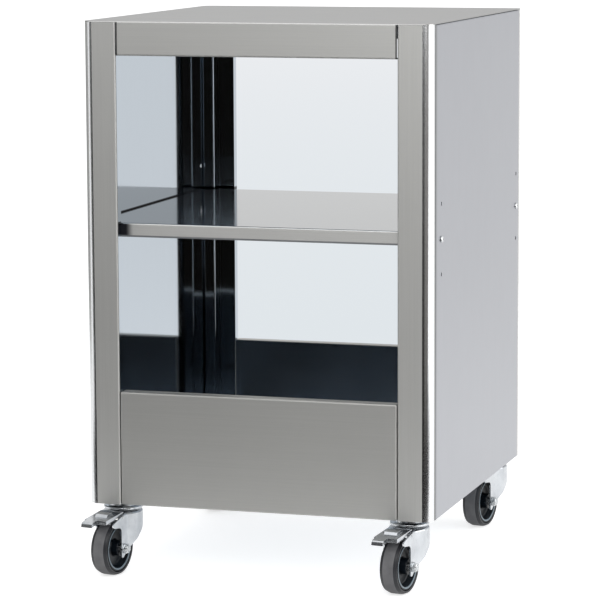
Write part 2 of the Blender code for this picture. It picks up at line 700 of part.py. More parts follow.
def brake_pedal(name, parent):
    # Pressed channel: a sloping tread with a tongue, skirts, eyes for the pivot and a raised pad.
    slope = (PEDAL_TIP_HEIGHT - PEDAL_START_HEIGHT) / (PEDAL_REACH - PEDAL_START)

    def tread(forward):
        return PEDAL_START_HEIGHT + slope * (forward - PEDAL_START)

    side_view = [
        (-PEDAL_START, tread(PEDAL_START), 0),
        (-PEDAL_REACH, PEDAL_TIP_HEIGHT, PEDAL_SHEET * 2),
        (-PEDAL_REACH - PEDAL_SHEET, PEDAL_TIP_HEIGHT - PEDAL_LIP, 0),
        (-PEDAL_REACH + 2 * PEDAL_SHEET, PEDAL_TIP_HEIGHT - PEDAL_SKIRT, 0),
        (-PIVOT_FORWARD - 2 * PIVOT_EYE, tread(PIVOT_FORWARD) - PEDAL_SKIRT, PEDAL_SKIRT),
        (-PIVOT_FORWARD, PIVOT_HEIGHT - PIVOT_DROP, PIVOT_EYE),
        (-PEDAL_START, PIVOT_HEIGHT - PIVOT_EYE / 3, PIVOT_EYE / 2),
    ]
    outline = rounded_line(side_view)
    shape = bmesh.new()
    add_prism(shape, outline, -PEDAL_HALF_WIDTH, PEDAL_HALF_WIDTH, "X")
    made = piece(name, shape, ZINC, parent)
    wide = 2 * PEDAL_HALF_WIDTH
    tall = 2 * PEDAL_START_HEIGHT
    for start, end in ((-wide, -TONGUE_LEFT), (TONGUE_RIGHT, wide)):
        beside = bmesh.new()
        add_box(beside, (start, -2 * PEDAL_REACH, 0), (end, -PEDAL_BODY, tall))
        carve(made, beside)
    inside = PEDAL_HALF_WIDTH - PEDAL_SHEET
    body = (PEDAL_BODY, -inside, inside, PEDAL_SHEET)
    left = -TONGUE_LEFT + PEDAL_SHEET
    tongue = (PEDAL_REACH, left, TONGUE_RIGHT - PEDAL_SHEET, PEDAL_SHEET + FIT)
    for reach, start, end, skin in (body, tongue):
        far = reach - 1.5 * PEDAL_SHEET
        under = [
            (-PEDAL_START + PEDAL_REACH, tread(PEDAL_START) - skin),
            (-PEDAL_START, tread(PEDAL_START) - skin),
            (-far, tread(far) - skin),
            (-far - PEDAL_SHEET, 0),
            (-PEDAL_START + PEDAL_REACH, 0),
        ]
        hollow = bmesh.new()
        add_prism(hollow, under, start, end, "X")
        carve(made, hollow)
    pad = [
        (-PAD_START, tread(PAD_START) - PEDAL_SHEET / 2, 0),
        (-PAD_START - PAD_HEIGHT, tread(PAD_START) + PAD_HEIGHT, BEND / 2),
        (-PAD_END, tread(PAD_END) + PAD_HEIGHT, BEND / 2),
        (-PAD_END - PAD_HEIGHT, tread(PAD_END) - PEDAL_SHEET / 2, 0),
    ]
    raised = bmesh.new()
    add_prism(raised, rounded_line(pad), -PAD_HALF_WIDTH, PAD_HALF_WIDTH, "X")
    carve(made, raised, "UNION")
    steps = [SHOE_START + (SHOE_END - SHOE_START) * i / 3 for i in range(4)]
    face = [(-forward, height) for forward, height in map(shoe_point, steps)]
    back = [(y, tread(-y) - PEDAL_SHEET / 2) for y in (face[-1][0], face[0][0])]
    shoe = face + back
    block = bmesh.new()
    add_prism(block, shoe, -SHOE_HALF_WIDTH, SHOE_HALF_WIDTH, "X")
    carve(made, block, "UNION")
    bore = bmesh.new()
    eye = circle(PIVOT_RADIUS + FIT, -PIVOT_FORWARD, PIVOT_HEIGHT, 12)
    add_prism(bore, eye, -FORK_HALF_WIDTH, FORK_HALF_WIDTH, "X")
    carve(made, bore)
    return shade_round(made)


def pedal_pin(name, parent):
    end = FORK_HALF_WIDTH + PEDAL_SHEET / 2
    shape = bmesh.new()
    add_prism(shape, circle(PIVOT_RADIUS, -PIVOT_FORWARD, PIVOT_HEIGHT, 12), -end, end, "X")
    return shade_round(piece(name, shape, BRIGHT, parent))


def empty(name, location, rotation=(0, 0, 0), parent=None):
    made = bpy.data.objects.new(name, None)
    bpy.context.collection.objects.link(made)
    made.parent = parent
    made.location = location
    made.rotation_euler = rotation
    return made


def move_origin(target, origin):
    # Moves a piece's own origin onto its joint axis, without moving the piece.
    target.data.transform(Matrix.Translation(-Vector(origin)))
    target.location = Vector(target.location) + Vector(origin)


def caster(name, place):
    swivel_head(name + "_head", place)
    swivel = empty(name + "_swivel", (*place, 0), (0, 0, REST_HEADING))
    hub = empty(name + "_hub", (0, -TRAIL, WHEEL_RADIUS), parent=swivel)
    braked = name.startswith("front")
    swivel_bearing(name + "_bearing", swivel)
    fork(name + "_fork", swivel, braked)
    axle(name + "_axle", swivel)
    sleeve(name + "_sleeve", swivel)
    wheel_centre(name + "_wheel", hub)
    tyre(name + "_tyre", hub)
    if braked:
        pedal_pin(name + "_pedal_pin", swivel)
        pedal = brake_pedal(name + "_pedal", swivel)
        move_origin(pedal, (0, -PIVOT_FORWARD, PIVOT_HEIGHT))


def build():
    for old in list(bpy.data.objects):
        bpy.data.objects.remove(old)
    for end, end_name in ((-1, "front"), (1, "rear")):
        apron(end_name + "_apron", end)
        for side, side_name in ((-1, "left"), (1, "right")):
            corner_post(end_name + "_" + side_name + "_post", side, end)
    for side, side_name in ((-1, "left"), (1, "right")):
        side_panel(side_name + "_side_panel", side)
        stiffener(side_name + "_stiffener", side)
    top_panel()
    shelf()
    base_panel()
    for name, (side, y) in shelf_fixings().items():
        shelf_screw(name + "_shelf_screw", side, y)
        shelf_nut(name + "_shelf_nut", side, y)
    for name, place in caster_places().items():
        stud_nut(name + "_stud_nut", place)
        caster(name, place)
    loose = [made for made in bpy.data.objects if not made.parent]
    cabinet = empty("cabinet", (0, CABINET_BACK, 0))
    for made in loose:
        made.parent = cabinet


build()
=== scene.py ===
import json
import math

import bmesh
import bpy
from mathutils import Matrix, Vector


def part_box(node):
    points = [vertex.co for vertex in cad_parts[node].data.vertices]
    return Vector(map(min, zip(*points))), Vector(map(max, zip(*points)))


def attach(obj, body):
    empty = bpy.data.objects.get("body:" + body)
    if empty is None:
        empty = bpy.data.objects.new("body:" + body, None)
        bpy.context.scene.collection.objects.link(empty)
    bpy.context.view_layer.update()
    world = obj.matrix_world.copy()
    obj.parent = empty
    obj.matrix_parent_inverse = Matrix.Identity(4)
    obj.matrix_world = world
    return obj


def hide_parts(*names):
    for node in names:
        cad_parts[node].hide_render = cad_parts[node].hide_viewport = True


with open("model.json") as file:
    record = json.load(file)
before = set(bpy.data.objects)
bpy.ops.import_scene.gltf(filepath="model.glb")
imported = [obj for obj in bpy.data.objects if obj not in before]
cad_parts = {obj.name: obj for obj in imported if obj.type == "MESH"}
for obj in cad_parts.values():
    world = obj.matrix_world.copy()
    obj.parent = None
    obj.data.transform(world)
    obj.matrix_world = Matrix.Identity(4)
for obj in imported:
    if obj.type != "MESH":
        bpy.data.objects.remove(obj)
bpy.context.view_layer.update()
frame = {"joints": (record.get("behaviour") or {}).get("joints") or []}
scene = bpy.context.scene

# The cabinet's own planes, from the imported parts
topLow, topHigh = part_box("top_panel")
cabinet = {
    "halfWidth": topHigh.x,
    "front": topLow.y,
    "rear": topHigh.y,
    "middle": (topLow.y + topHigh.y) / 2,
    "halfDepth": (topHigh.y - topLow.y) / 2,
    "bottom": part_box("base_panel")[0].z,
    "top": topHigh.z,
}
sheet, fold, gap = 0.0012, 0.0025, 0.0003
cornerNames = ("front_left", "front_right", "rear_left", "rear_right")

cameraLook = {
    "place": (1.3225, -4.298, 0.9997),
    "turn": 17.2209,     # degrees to the left of straight ahead
    "tilt": -7.8545,
    "roll": -0.2512,
    "lens": 182.111,
}


def placeCamera(look):
    bpy.ops.object.camera_add(location=look["place"])
    camera = bpy.context.object
    turns = (("Z", look["turn"]), ("X", 90 + look["tilt"]), ("Z", look["roll"]))
    heading, tilt, roll = (Matrix.Rotation(math.radians(turn), 3, axis) for axis, turn in turns)
    camera.rotation_euler = (heading @ tilt @ roll).to_euler()
    camera.data.lens = look["lens"]
    camera.data.sensor_width = 36
    camera.data.clip_end = 100
    scene.camera = camera


placeCamera(cameraLook)
print("camera placed")


# Small steps of modelling that the pieces share
weldDistance = 1e-6
touchDistance = 2e-5
past = 0.1               # how far a cutter reaches beyond what it cuts


def clearSelection():
    if bpy.context.object and bpy.context.object.mode != "OBJECT":
        bpy.ops.object.mode_set(mode="OBJECT")
    bpy.ops.object.select_all(action="DESELECT")


def makeActive(piece):
    clearSelection()
    piece.select_set(True)
    bpy.context.view_layer.objects.active = piece


def takeAdded(name):
    # names the piece just added and takes its placing into the mesh
    piece = bpy.context.object
    piece.name = name
    bpy.ops.object.transform_apply()
    return piece


def moveTo(piece, place):
    makeActive(piece)
    bpy.ops.transform.translate(value=place)
    bpy.ops.object.transform_apply()


def selectAll():
    bpy.ops.mesh.select_all(action="SELECT")


def turnOutwards():
    selectAll()
    bpy.ops.mesh.normals_make_consistent()


def pick(piece, kind, test):
    # selects the verts, edges or faces that the test says yes to
    bpy.ops.mesh.select_mode(type=kind)
    bpy.ops.mesh.select_all(action="DESELECT")
    drawing = bmesh.from_edit_mesh(piece.data)
    for item in getattr(drawing, kind.lower() + "s"):
        if test(item):
            item.select_set(True)
    drawing.select_flush_mode()
    bmesh.update_edit_mesh(piece.data)


def drawLine(name, corners):
    # one vertex, extruded from corner to corner
    clearSelection()
    bpy.ops.mesh.primitive_plane_add(size=0.01, location=(0, 0, 0))
    piece = takeAdded(name)
    bpy.ops.object.mode_set(mode="EDIT")
    bpy.ops.mesh.select_mode(type="VERT")
    selectAll()
    bpy.ops.mesh.merge(type="CENTER")
    selectAll()
    bpy.ops.transform.translate(value=corners[0])
    for before, after in zip(corners, corners[1:]):
        bpy.ops.mesh.extrude_vertices_move(TRANSFORM_OT_translate={"value": after - before})
    return piece


def roundCorners(piece, corners, run, segments):
    # rounds the edges along the run that start at the corners
    along = Vector(run).normalized()
    for *place, radius in corners:
        if radius == 0:
            continue
        place = Vector(place)

        def onCorner(edge):
            ends = [vert.co - place for vert in edge.verts]
            return all((end - along * end.dot(along)).length < touchDistance for end in ends)

        pick(piece, "EDGE", onCorner)
        edges = bmesh.from_edit_mesh(piece.data).edges
        faces = [face for edge in edges if edge.select for face in edge.link_faces]
        half = (math.pi - faces[0].normal.angle(faces[1].normal)) / 2
        bpy.ops.mesh.bevel(offset=radius / math.tan(half), segments=segments)


def traceBlock(name, corners, run, segments=6, outward=None):
    # corners are (x, y, z, radius); a sheet's first face looks outward, and a block is filled
    places = [Vector(corner[:3]) for corner in corners]
    piece = drawLine(name, places)
    selectAll()
    if not outward:
        bpy.ops.mesh.edge_face_add()
        selectAll()
    bpy.ops.mesh.extrude_region_move(TRANSFORM_OT_translate={"value": run})
    turnOutwards()
    if outward:
        drawing = bmesh.from_edit_mesh(piece.data)
        middle = (places[0] + places[1] + Vector(run)) / 2
        first = min(drawing.faces, key=lambda face: (face.calc_center_median() - middle).length)
        if first.normal.dot(Vector(outward)) < 0:
            bpy.ops.mesh.flip_normals()
    roundCorners(piece, corners, run, segments)
    clearSelection()
    return piece


def foldSheet(name, corners, run, outward, segments=6, thickness=sheet):
    # the corners are those of the outer face
    piece = traceBlock(name, corners, run, segments, outward)
    thicken(piece, thickness)
    return piece


def boxBetween(name, low, high):
    clearSelection()
    low, high = Vector(low), Vector(high)
    bpy.ops.mesh.primitive_cube_add(size=1, location=(low + high) / 2, scale=high - low)
    return takeAdded(name)


def rodAt(name, place, radius, length, axis, sides):
    clearSelection()
    bpy.ops.mesh.primitive_cylinder_add(
        vertices=sides, radius=radius, depth=length, location=place,
        rotation=(0, math.pi / 2 if axis == "X" else 0, 0),
    )
    return takeAdded(name)


def turnProfile(name, profile, axis, steps):
    # profile points are (radius, distance along the axis), spun once round it
    along = Vector((1, 0, 0)) if axis == "X" else Vector((0, 0, 1))
    across = Vector((0, 0, 1)) if axis == "X" else Vector((1, 0, 0))
    places = [across * radius + along * distance for radius, distance in profile]
    if profile[0][0] > 0:
        places.append(places[0])
    piece = drawLine(name, places)
    selectAll()
    bpy.ops.mesh.spin(steps=steps, angle=2 * math.pi, center=(0, 0, 0), axis=along)
    selectAll()
    bpy.ops.mesh.remove_doubles(threshold=weldDistance)
    bpy.ops.mesh.delete_loose()
    turnOutwards()
    clearSelection()
    return piece


def mirrorLine(half, total=0):
    # half a profile and back again; two matching distances add up to the total
    return half + [(radius, total - distance) for radius, distance in reversed(half)]


def arcLine(centre, radius, start, end, steps=5):
    # points of an arc in degrees, in the plane of the outline
    turns = [math.radians(start + (end - start) * step / steps) for step in range(steps + 1)]
    return [(centre[0] + radius * math.cos(turn), centre[1] + radius * math.sin(turn)) for turn in turns]


def useModifier(piece, kind, **values):
    makeActive(piece)
    modifier = piece.modifiers.new(kind.title(), kind)
    for name, value in values.items():
        setattr(modifier, name, value)
    bpy.ops.object.modifier_apply(modifier=modifier.name)


def addSlots(piece, count):
    for slot in range(count):
        piece.data.materials.append(None)


def thicken(piece, thickness=sheet):
    # inwards from the outer face; the inner face takes the next finish
    addSlots(piece, 3)
    useModifier(
        piece, "SOLIDIFY", thickness=thickness, offset=-1, use_even_offset=True, material_offset=1,
        material_offset_rim=0,
    )


def cutWith(piece, cutter, operation="DIFFERENCE"):
    useModifier(piece, "BOOLEAN", object=cutter, operation=operation, solver="EXACT")
    bpy.data.objects.remove(cutter)


def cutBox(piece, *spans):
    # takes away what lies between two places on each axis, in either order
    low, high = zip(*(sorted(span) for span in spans))
    cutWith(piece, boxBetween("cutter", low, high))


def cutHole(piece, place, radius, axis, sides=32, length=past):
    cutWith(piece, rodAt("cutter", place, radius, length, axis, sides))


def tidyMesh(piece):
    # joins doubled points and turns the faces outwards
    makeActive(piece)
    bpy.ops.object.mode_set(mode="EDIT")
    selectAll()
    bpy.ops.mesh.remove_doubles(threshold=weldDistance)
    turnOutwards()
    clearSelection()


def smoothShade(piece, angle=35):
    # the large faces lead, so that flat sheet stays flat up to its rounded edges
    makeActive(piece)
    bpy.ops.object.shade_smooth_by_angle(angle=math.radians(angle))
    useModifier(piece, "WEIGHTED_NORMAL", keep_sharp=True)


def softenEdges(piece, width=0.0003, segments=2, angle=35):
    # a sheet's cut edges take the plain width
    useModifier(
        piece, "BEVEL", width=width, segments=segments, limit_method="ANGLE",
        angle_limit=math.radians(angle), miter_outer="MITER_ARC",
    )
    smoothShade(piece, angle)


def repaint(piece, index, test):
    # gives another finish to outer faces that the test says yes to
    for face in piece.data.polygons:
        if face.material_index == 0 and test(face):
            face.material_index = index


def copyPiece(piece, name, scale=(1, 1, 1), turn=0, move=(0, 0, 0)):
    # scaled, turned about +Z and moved, with its own mesh
    makeActive(piece)
    bpy.ops.object.duplicate()
    copy = bpy.context.object
    copy.name = name
    turned = Matrix.Rotation(turn, 4, "Z") @ Matrix.Diagonal((*scale, 1))
    copy.matrix_world = Matrix.Translation(move) @ turned @ copy.matrix_world
    bpy.ops.object.transform_apply()
    if math.prod(scale) < 0:
        tidyMesh(copy)
        smoothShade(copy)
    return copy


def finishPiece(piece, node, *finishes, slot="satin_stainless", body="cabinet"):
    # rides on its body, stands for its CAD node and wears its finishes
    materials = piece.data.materials
    addSlots(piece, len(finishes) - len(materials))
    while len(materials) > len(finishes):
        materials.pop()
    for index, finish in enumerate(finishes):
        materials[index] = finish
    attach(piece, body)
    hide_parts(node)


# Finishes
noiseRange = (0.3, 0.7)      # where nearly all values of a noise lie


def feed(node, inputs):
    # each input takes a socket to link from, or a plain value
    for name, value in inputs.items():
        socket = node.inputs[name]
        if isinstance(value, bpy.types.NodeSocket):
            node.id_data.links.new(value, socket)
        else:
            socket.default_value = (*value, 1) if socket.type == "RGBA" else value


def addNode(tree, kind, inputs, **settings):
    node = tree.nodes.new(kind)
    for name, value in settings.items():
        setattr(node, name, value)
    feed(node, inputs)
    return node


def objectPlace(tree):
    return tree.nodes.new("ShaderNodeTexCoord").outputs["Object"]


def calculate(operation, *values):
    tree = values[0].id_data
    return addNode(tree, "ShaderNodeMath", dict(enumerate(values)), operation=operation).outputs[0]


def stretchValue(value, start, end, low=0, high=1, **settings):
    # start to end becomes low to high
    inputs = {"Value": value, "From Min": start, "From Max": end, "To Min": low, "To Max": high}
    return addNode(value.id_data, "ShaderNodeMapRange", inputs, **settings).outputs["Result"]


def addNoise(place, scale, detail, roughness=0.5, distortion=0):
    return addNode(place.id_data, "ShaderNodeTexNoise", {
        "Vector": place, "Scale": scale, "Detail": detail, "Roughness": roughness,
        "Distortion": distortion,
    }).outputs["Fac"]


def blendColors(low, high, amount):
    inputs = {"A": low, "B": high, "Factor": amount}
    return addNode(amount.id_data, "ShaderNodeMix", inputs, data_type="RGBA").outputs["Result"]


def addBump(height, strength, distance):
    inputs = {"Height": height, "Strength": strength, "Distance": distance}
    return addNode(height.id_data, "ShaderNodeBump", inputs).outputs["Normal"]


def newGroup(name, inputs, outputs):
    # an input without a value takes a vector
    group = bpy.data.node_groups.new(name, "ShaderNodeTree")
    for label, value in inputs.items():
        kind = "NodeSocketVector" if value is None else "NodeSocketFloat"
        socket = group.interface.new_socket(label, in_out="INPUT", socket_type=kind)
        if value is not None:
            socket.default_value = value
    for label in outputs:
        group.interface.new_socket(label, in_out="OUTPUT", socket_type="NodeSocketFloat")
    return group, group.nodes.new("NodeGroupInput").outputs, group.nodes.new("NodeGroupOutput")


def sheetGrain():
    # rolled and polished sheet: fine lines along one way, slow waves and wipe marks
    outlets = ("Tone", "Height", "Wipe")
    group, entry, leave = newGroup("sheetGrain", {"Vector": None, "Lines": 0.5}, outlets)
    place = objectPlace(group)
    fine = addNoise(entry["Vector"], 1, 3, roughness=0.6)
    slow = addNoise(place, 5.5, 2)
    smear = addNoise(place, 26, 4, distortion=0.6)
    lines = stretchValue(fine, *noiseRange)
    centred = calculate("SUBTRACT", lines, 0.5)
    scaled = calculate("MULTIPLY", centred, entry["Lines"])
    wipe = calculate("MULTIPLY", slow, smear)
    feed(leave, {"Tone": calculate("ADD", scaled, 0.5), "Height": lines, "Wipe": wipe})
    return group


def speckle():
    # soft mottling with a finer grit over it
    group, entry, leave = newGroup("speckle", {"Patch": 30.0, "Grit": 900.0}, ("Patches", "Grains"))
    place = objectPlace(group)
    for scale, outlet, detail in (("Patch", "Patches", 3), ("Grit", "Grains", 2)):
        noise = addNoise(place, entry[scale], detail)
        feed(leave, {outlet: stretchValue(noise, *noiseRange)})
    return group


grainGroup = sheetGrain()
speckleGroup = speckle()


def newMaterial(name):
    material = bpy.data.materials.new(name)
    material.use_nodes = True
    tree = material.node_tree
    return material, tree, tree.nodes["Principled BSDF"]


def paintJointShade(shader, axis, mirrored, middle, reach, soft, color):
    # paints shade into a finish along a joint between parts: darker within a reach of a middle place on
    # one axis
    tree = shader.id_data
    value = addNode(tree, "ShaderNodeSeparateXYZ", {0: objectPlace(tree)}).outputs[axis]
    if mirrored:
        value = calculate("ABSOLUTE", value)
    away = calculate("ABSOLUTE", calculate("SUBTRACT", value, middle))
    cover = stretchValue(away, reach, reach - soft, interpolation_type="SMOOTHSTEP")
    plain = shader.inputs["Base Color"].links[0].from_socket
    feed(shader, {"Base Color": blendColors(plain, color, cover)})


def sheetSteel(name, base, **changes):
    # stainless sheet whose fine lines run along one axis
    look = {**base, **changes}
    material, tree, shader = newMaterial(name)
    scale = [look["along"] if axis == look["grain"] else look["across"] for axis in "XYZ"]
    lines = addNode(tree, "ShaderNodeMapping", {"Vector": objectPlace(tree), "Scale": scale})
    inputs = {"Vector": lines.outputs["Vector"], "Lines": look["lines"]}
    grain = addNode(tree, "ShaderNodeGroup", inputs, node_tree=grainGroup).outputs
    dark, light = ([part * (1 + way * look["tone"]) for part in look["color"]] for way in (-1, 1))
    feed(shader, {
        "Base Color": blendColors(dark, light, grain["Tone"]),
        "Roughness": stretchValue(grain["Wipe"], 0, 1, *look["rough"]),
        "Normal": addBump(grain["Height"], look["bump"], look["depth"]),
        "Metallic": 1,
        "Specular Tint": [look["edge"]] * 3,
        "Anisotropic": look["brushed"],
    })
    if look["brushed"]:
        tangent = addNode(tree, "ShaderNodeTangent", {}, direction_type="RADIAL", axis="Z")
        feed(shader, {"Anisotropic Rotation": look["spin"], "Tangent": tangent.outputs[0]})
    # painted shade along joints and seams
    for joint in look.get("joints", []):
        paintJointShade(shader, *joint)
    return material


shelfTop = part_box("shelf")[1].z
jointShadow = (0.012, 0.016, 0.022)
satinLook = {
    "color": (0.56, 0.56, 0.545), "grain": "X", "along": 6, "across": 900, "lines": 0.9,
    "tone": 0.03, "rough": (0.57, 0.65), "bump": 0.25, "depth": 0.00002, "brushed": 0.5, "spin": 0.25,
    "edge": 1,
}
innerLook = {
    "color": (0.455, 0.505, 0.555), "grain": "Z", "along": 8, "across": 300, "lines": 0.5,
    "tone": 0.02, "rough": (0.04, 0.11), "bump": 0.05, "depth": 0.00002, "brushed": 0, "edge": 0.8,
    # painted shade: a dark line at the height of the shelf top, where the shelf meets the panels
    "joints": [("Z", False, shelfTop, 0.0026, 0.0006, jointShadow)],
}
postSteel = sheetSteel("postSteel", satinLook, grain="Z")
# the rounded corners: smoother sheet, and a lighter copy of the satin steel for a painted highlight
cornerSteel = sheetSteel(
    "cornerSteel", satinLook, color=(0.68, 0.69, 0.70), grain="Z", rough=(0.19, 0.25), brushed=0,
    bump=0.05,
)
# a darker copy of the satin steel with a lower specular tint: painted shade on the side panels
sideSteel = sheetSteel(
    "sideSteel", satinLook, color=(0.375, 0.385, 0.415), grain="Z", rough=(0.28, 0.36), edge=0.85,
    joints=[
        # painted shade: a dark line under the top, and a soft dark band beside the seam with the front
        # post
        ("Z", False, cabinet["top"], 0.0026, 0.0006, (0.16, 0.16, 0.17)),
        ("Y", False, cabinet["front"] + 0.019, 0.012, 0.010, (0.19, 0.20, 0.21)),
    ],
)
railSteel = sheetSteel(
    "railSteel", satinLook,
    # painted shade: dark lines in the seams where the rail meets the posts
    joints=[("X", True, cabinet["halfWidth"] - 0.0508, 0.0024, 0.0008, (0.10, 0.10, 0.10))],
)
# a darker copy of the satin steel: painted shade on the aprons
apronSteel = sheetSteel("apronSteel", satinLook, color=(0.49, 0.49, 0.475))
# a darker copy of the satin steel with a lower specular tint: painted shade on the top
topSteel = sheetSteel(
    "topSteel", satinLook, color=(0.46, 0.46, 0.455), rough=(0.30, 0.38), brushed=0, edge=0.6,
)
innerSteel = sheetSteel("innerSteel", innerLook)
linerSteel = sheetSteel("linerSteel", innerLook, grain="X", rough=(0.17, 0.27))
# its joints paint shade: a dark line along each end of the shelf top, by the side panels
shelfSteel = sheetSteel(
    "shelfSteel", innerLook, color=(0.52, 0.54, 0.55), grain="X", across=400, rough=(0.07, 0.14),
    bump=0.08, edge=0.7, joints=[("X", True, cabinet["halfWidth"], 0.006, 0.0006, jointShadow)],
)
# a lighter copy of the satin steel, a painted highlight on the shelf's front
shelfFront = sheetSteel(
    "shelfFront", satinLook, color=(0.67, 0.67, 0.655),
    joints=[
        # painted shade: a dark fade at the left end by the post, and a dark line along the lower fold
        ("X", False, -cabinet["halfWidth"] + 0.030, 0.039, 0.0125, (0.03, 0.03, 0.035)),
        ("Z", False, shelfTop - 0.020, 0.0030, 0.0008, (0.28, 0.29, 0.30)),
    ],
)


def speckledFinish(name, look, shaderInputs):
    # plating, plastic or rubber, faintly cloudy or dusty, with a fine skin
    material, tree, shader = newMaterial(name)
    inputs = {"Patch": look["patch"], "Grit": look["grit"]}
    spots = addNode(tree, "ShaderNodeGroup", inputs, node_tree=speckleGroup).outputs
    feed(shader, {
        "Base Color": blendColors(*look["colors"], spots["Patches"]),
        "Roughness": stretchValue(spots["Patches"], 0, 1, *look["rough"]),
        "Normal": addBump(spots["Grains"], look["bump"], look["depth"]),
        **shaderInputs,
    })
    return material


zincLook = {
    "colors": ((0.46, 0.48, 0.505), (0.59, 0.61, 0.63)), "patch": 45, "grit": 1400,
    "rough": (0.26, 0.20), "bump": 0.2, "depth": 0.00003,
}
zincPlate = speckledFinish("zincPlate", zincLook, {"Metallic": 1})
boltZinc = speckledFinish("boltZinc", {
    **zincLook, "colors": ((0.52, 0.54, 0.55), (0.70, 0.71, 0.72)), "patch": 90, "grit": 1600,
    "rough": (0.30, 0.22),
}, {"Metallic": 1})
rubberLook = {
    "colors": ((0.10, 0.10, 0.106), (0.15, 0.15, 0.155)), "patch": 60, "grit": 1500,
    "rough": (0.55, 0.7), "bump": 0.5, "depth": 0.00006,
}
treadRubber = speckledFinish("treadRubber", rubberLook, {"Specular IOR Level": 0.4})
wallRubber = speckledFinish("wallRubber", {
    **rubberLook, "colors": ((0.006, 0.007, 0.010), (0.011, 0.012, 0.016)), "patch": 70,
    "rough": (0.36, 0.48), "bump": 0.3,
}, {"Specular IOR Level": 0.45})
nylonLook = {
    "colors": ((0.002, 0.0035, 0.006), (0.004, 0.007, 0.011)), "patch": 50, "grit": 1200,
    "rough": (0.30, 0.40), "bump": 0.3, "depth": 0.00006,
}
wheelNylon = speckledFinish("wheelNylon", nylonLook, {"Specular IOR Level": 0.3})
# a lighter, bluish copy of the wheel nylon: a painted highlight on the rim's edge
rimNylon = speckledFinish("rimNylon", {
    **nylonLook, "colors": ((0.11, 0.15, 0.18), (0.15, 0.20, 0.24)), "rough": (0.25, 0.35),
}, {"Specular IOR Level": 0.5})
print("finishes made")


# Corner posts
postShape = {
    "face": 0.050, "lip": 0.015, "corner": 0.014,
    "side": 0.016,       # where the side panel takes over
    "seam": 0.003, "boxWidth": 0.0205, "boxDepth": 0.028,
}


def buildPosts(look):
    inset = sheet + gap
    low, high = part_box("front_left_post")
    profile = [
        (look["face"], look["lip"], 0),
        (look["face"], 0, fold),
        (0, 0, look["corner"]),
        (0, look["side"], sheet),
        (inset, look["side"] + look["seam"], sheet),
        (inset, look["boxDepth"], fold),
        (look["boxWidth"], look["boxDepth"], fold),
        (look["boxWidth"], inset, 0),
    ]
    corners = [(low.x + x, low.y + y, low.z, radius) for x, y, radius in profile]
    post = foldSheet("frontLeftPost", corners, (0, 0, high.z - low.z), (1, 0, 0), 10)
    softenEdges(post)

    def isRolled(face):
        turned = max(face.normal.x, face.normal.y) < -0.03
        return turned and max((face.center - low).xy) < look["corner"] * 0.99

    def looksInward(face):
        x, y = (face.center - low).xy
        return y > look["side"] + look["seam"] or y > fold and x > inset * 2

    repaint(post, 2, isRolled)
    repaint(post, 1, looksInward)
    back = (0, 2 * cabinet["middle"], 0)
    posts = [
        post,
        copyPiece(post, "frontRightPost", (-1, 1, 1)),
        copyPiece(post, "rearLeftPost", (1, -1, 1), move=back),
        copyPiece(post, "rearRightPost", (-1, -1, 1), move=back),
    ]
    for made, corner in zip(posts, cornerNames):
        finishPiece(made, corner + "_post", postSteel, innerSteel, cornerSteel)


buildPosts(postShape)
print("posts folded")


# Top panel with its rails
topShape = {
    "rail": 0.049, "return": 0.014,
    "seam": 0.0008,      # between a rail and the post beside it
}


def buildTop(look):
    side, front, rear, top = cabinet["halfWidth"], cabinet["front"], cabinet["rear"], cabinet["top"]
    hem = top - look["rail"]
    corners = [
        (-side, front + look["return"], hem, 0),
        (-side, front, hem, fold),
        (-side, front, top, fold),
        (-side, rear, top, fold),
        (-side, rear, hem, fold),
        (-side, rear - look["return"], hem, 0),
    ]
    panel = foldSheet("topPanel", corners, (2 * side, 0, 0), (0, 0, -1))
    railEnd, under = side - postShape["face"] - look["seam"], hem - past
    for way in (-1, 1):
        ends = (way * railEnd, way * (side + past))
        cutBox(panel, ends, (front - past, rear + past), (under, top - sheet))
    plan = [(-side, front), (side, front), (side, rear), (-side, rear)]
    corners = [(x, y, under, postShape["corner"]) for x, y in plan]
    cutWith(panel, traceBlock("planBound", corners, (0, 0, 4 * past), 16), "INTERSECT")
    softenEdges(panel)
    repaint(panel, 2, lambda face: face.center.z < top - fold * 0.6)
    finishPiece(panel, "top_panel", topSteel, innerSteel, railSteel)


buildTop(topShape)
print("top folded")


# Side panels
sideShape = {
    "return": 0.012, "hole": 0.0029, "pitch": 0.050,
    "columns": (cabinet["front"] + 0.052, cabinet["rear"] - 0.036),
}


def middleOf(node):
    low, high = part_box(node)
    return (low + high) / 2


screwRow = middleOf("front_left_shelf_screw").z


def behindFold(way):
    # the depth that a post's box fold takes up, in front for -1 and at the back for 1
    clear = cabinet["halfDepth"] - postShape["boxDepth"] - gap
    return [cabinet["middle"] + way * place for place in (clear, clear + past)]


def buildSides(look):
    low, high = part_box("left_side_panel")
    corners = [
        (low.x, low.y, low.z, 0),
        (low.x, low.y, high.z, fold),
        (low.x + look["return"], low.y, high.z, 0),
    ]
    panel = foldSheet("leftSidePanel", corners, (0, high.y - low.y, 0), (-1, 0, 0))
    skin = low.x + sheet + gap / 2
    for way in (-1, 1):
        cutBox(panel, (skin, low.x + past), behindFold(way), (low.z - past, high.z + past))
    for y in look["columns"]:
        for z in (screwRow - look["pitch"], screwRow, screwRow + look["pitch"]):
            cutHole(panel, (low.x, y, z), look["hole"], "X")
    softenEdges(panel)
    other = copyPiece(panel, "rightSidePanel", (-1, 1, 1))
    finishPiece(panel, "left_side_panel", sideSteel, innerSteel)
    finishPiece(other, "right_side_panel", sideSteel, innerSteel)


buildSides(sideShape)
print("sides folded")


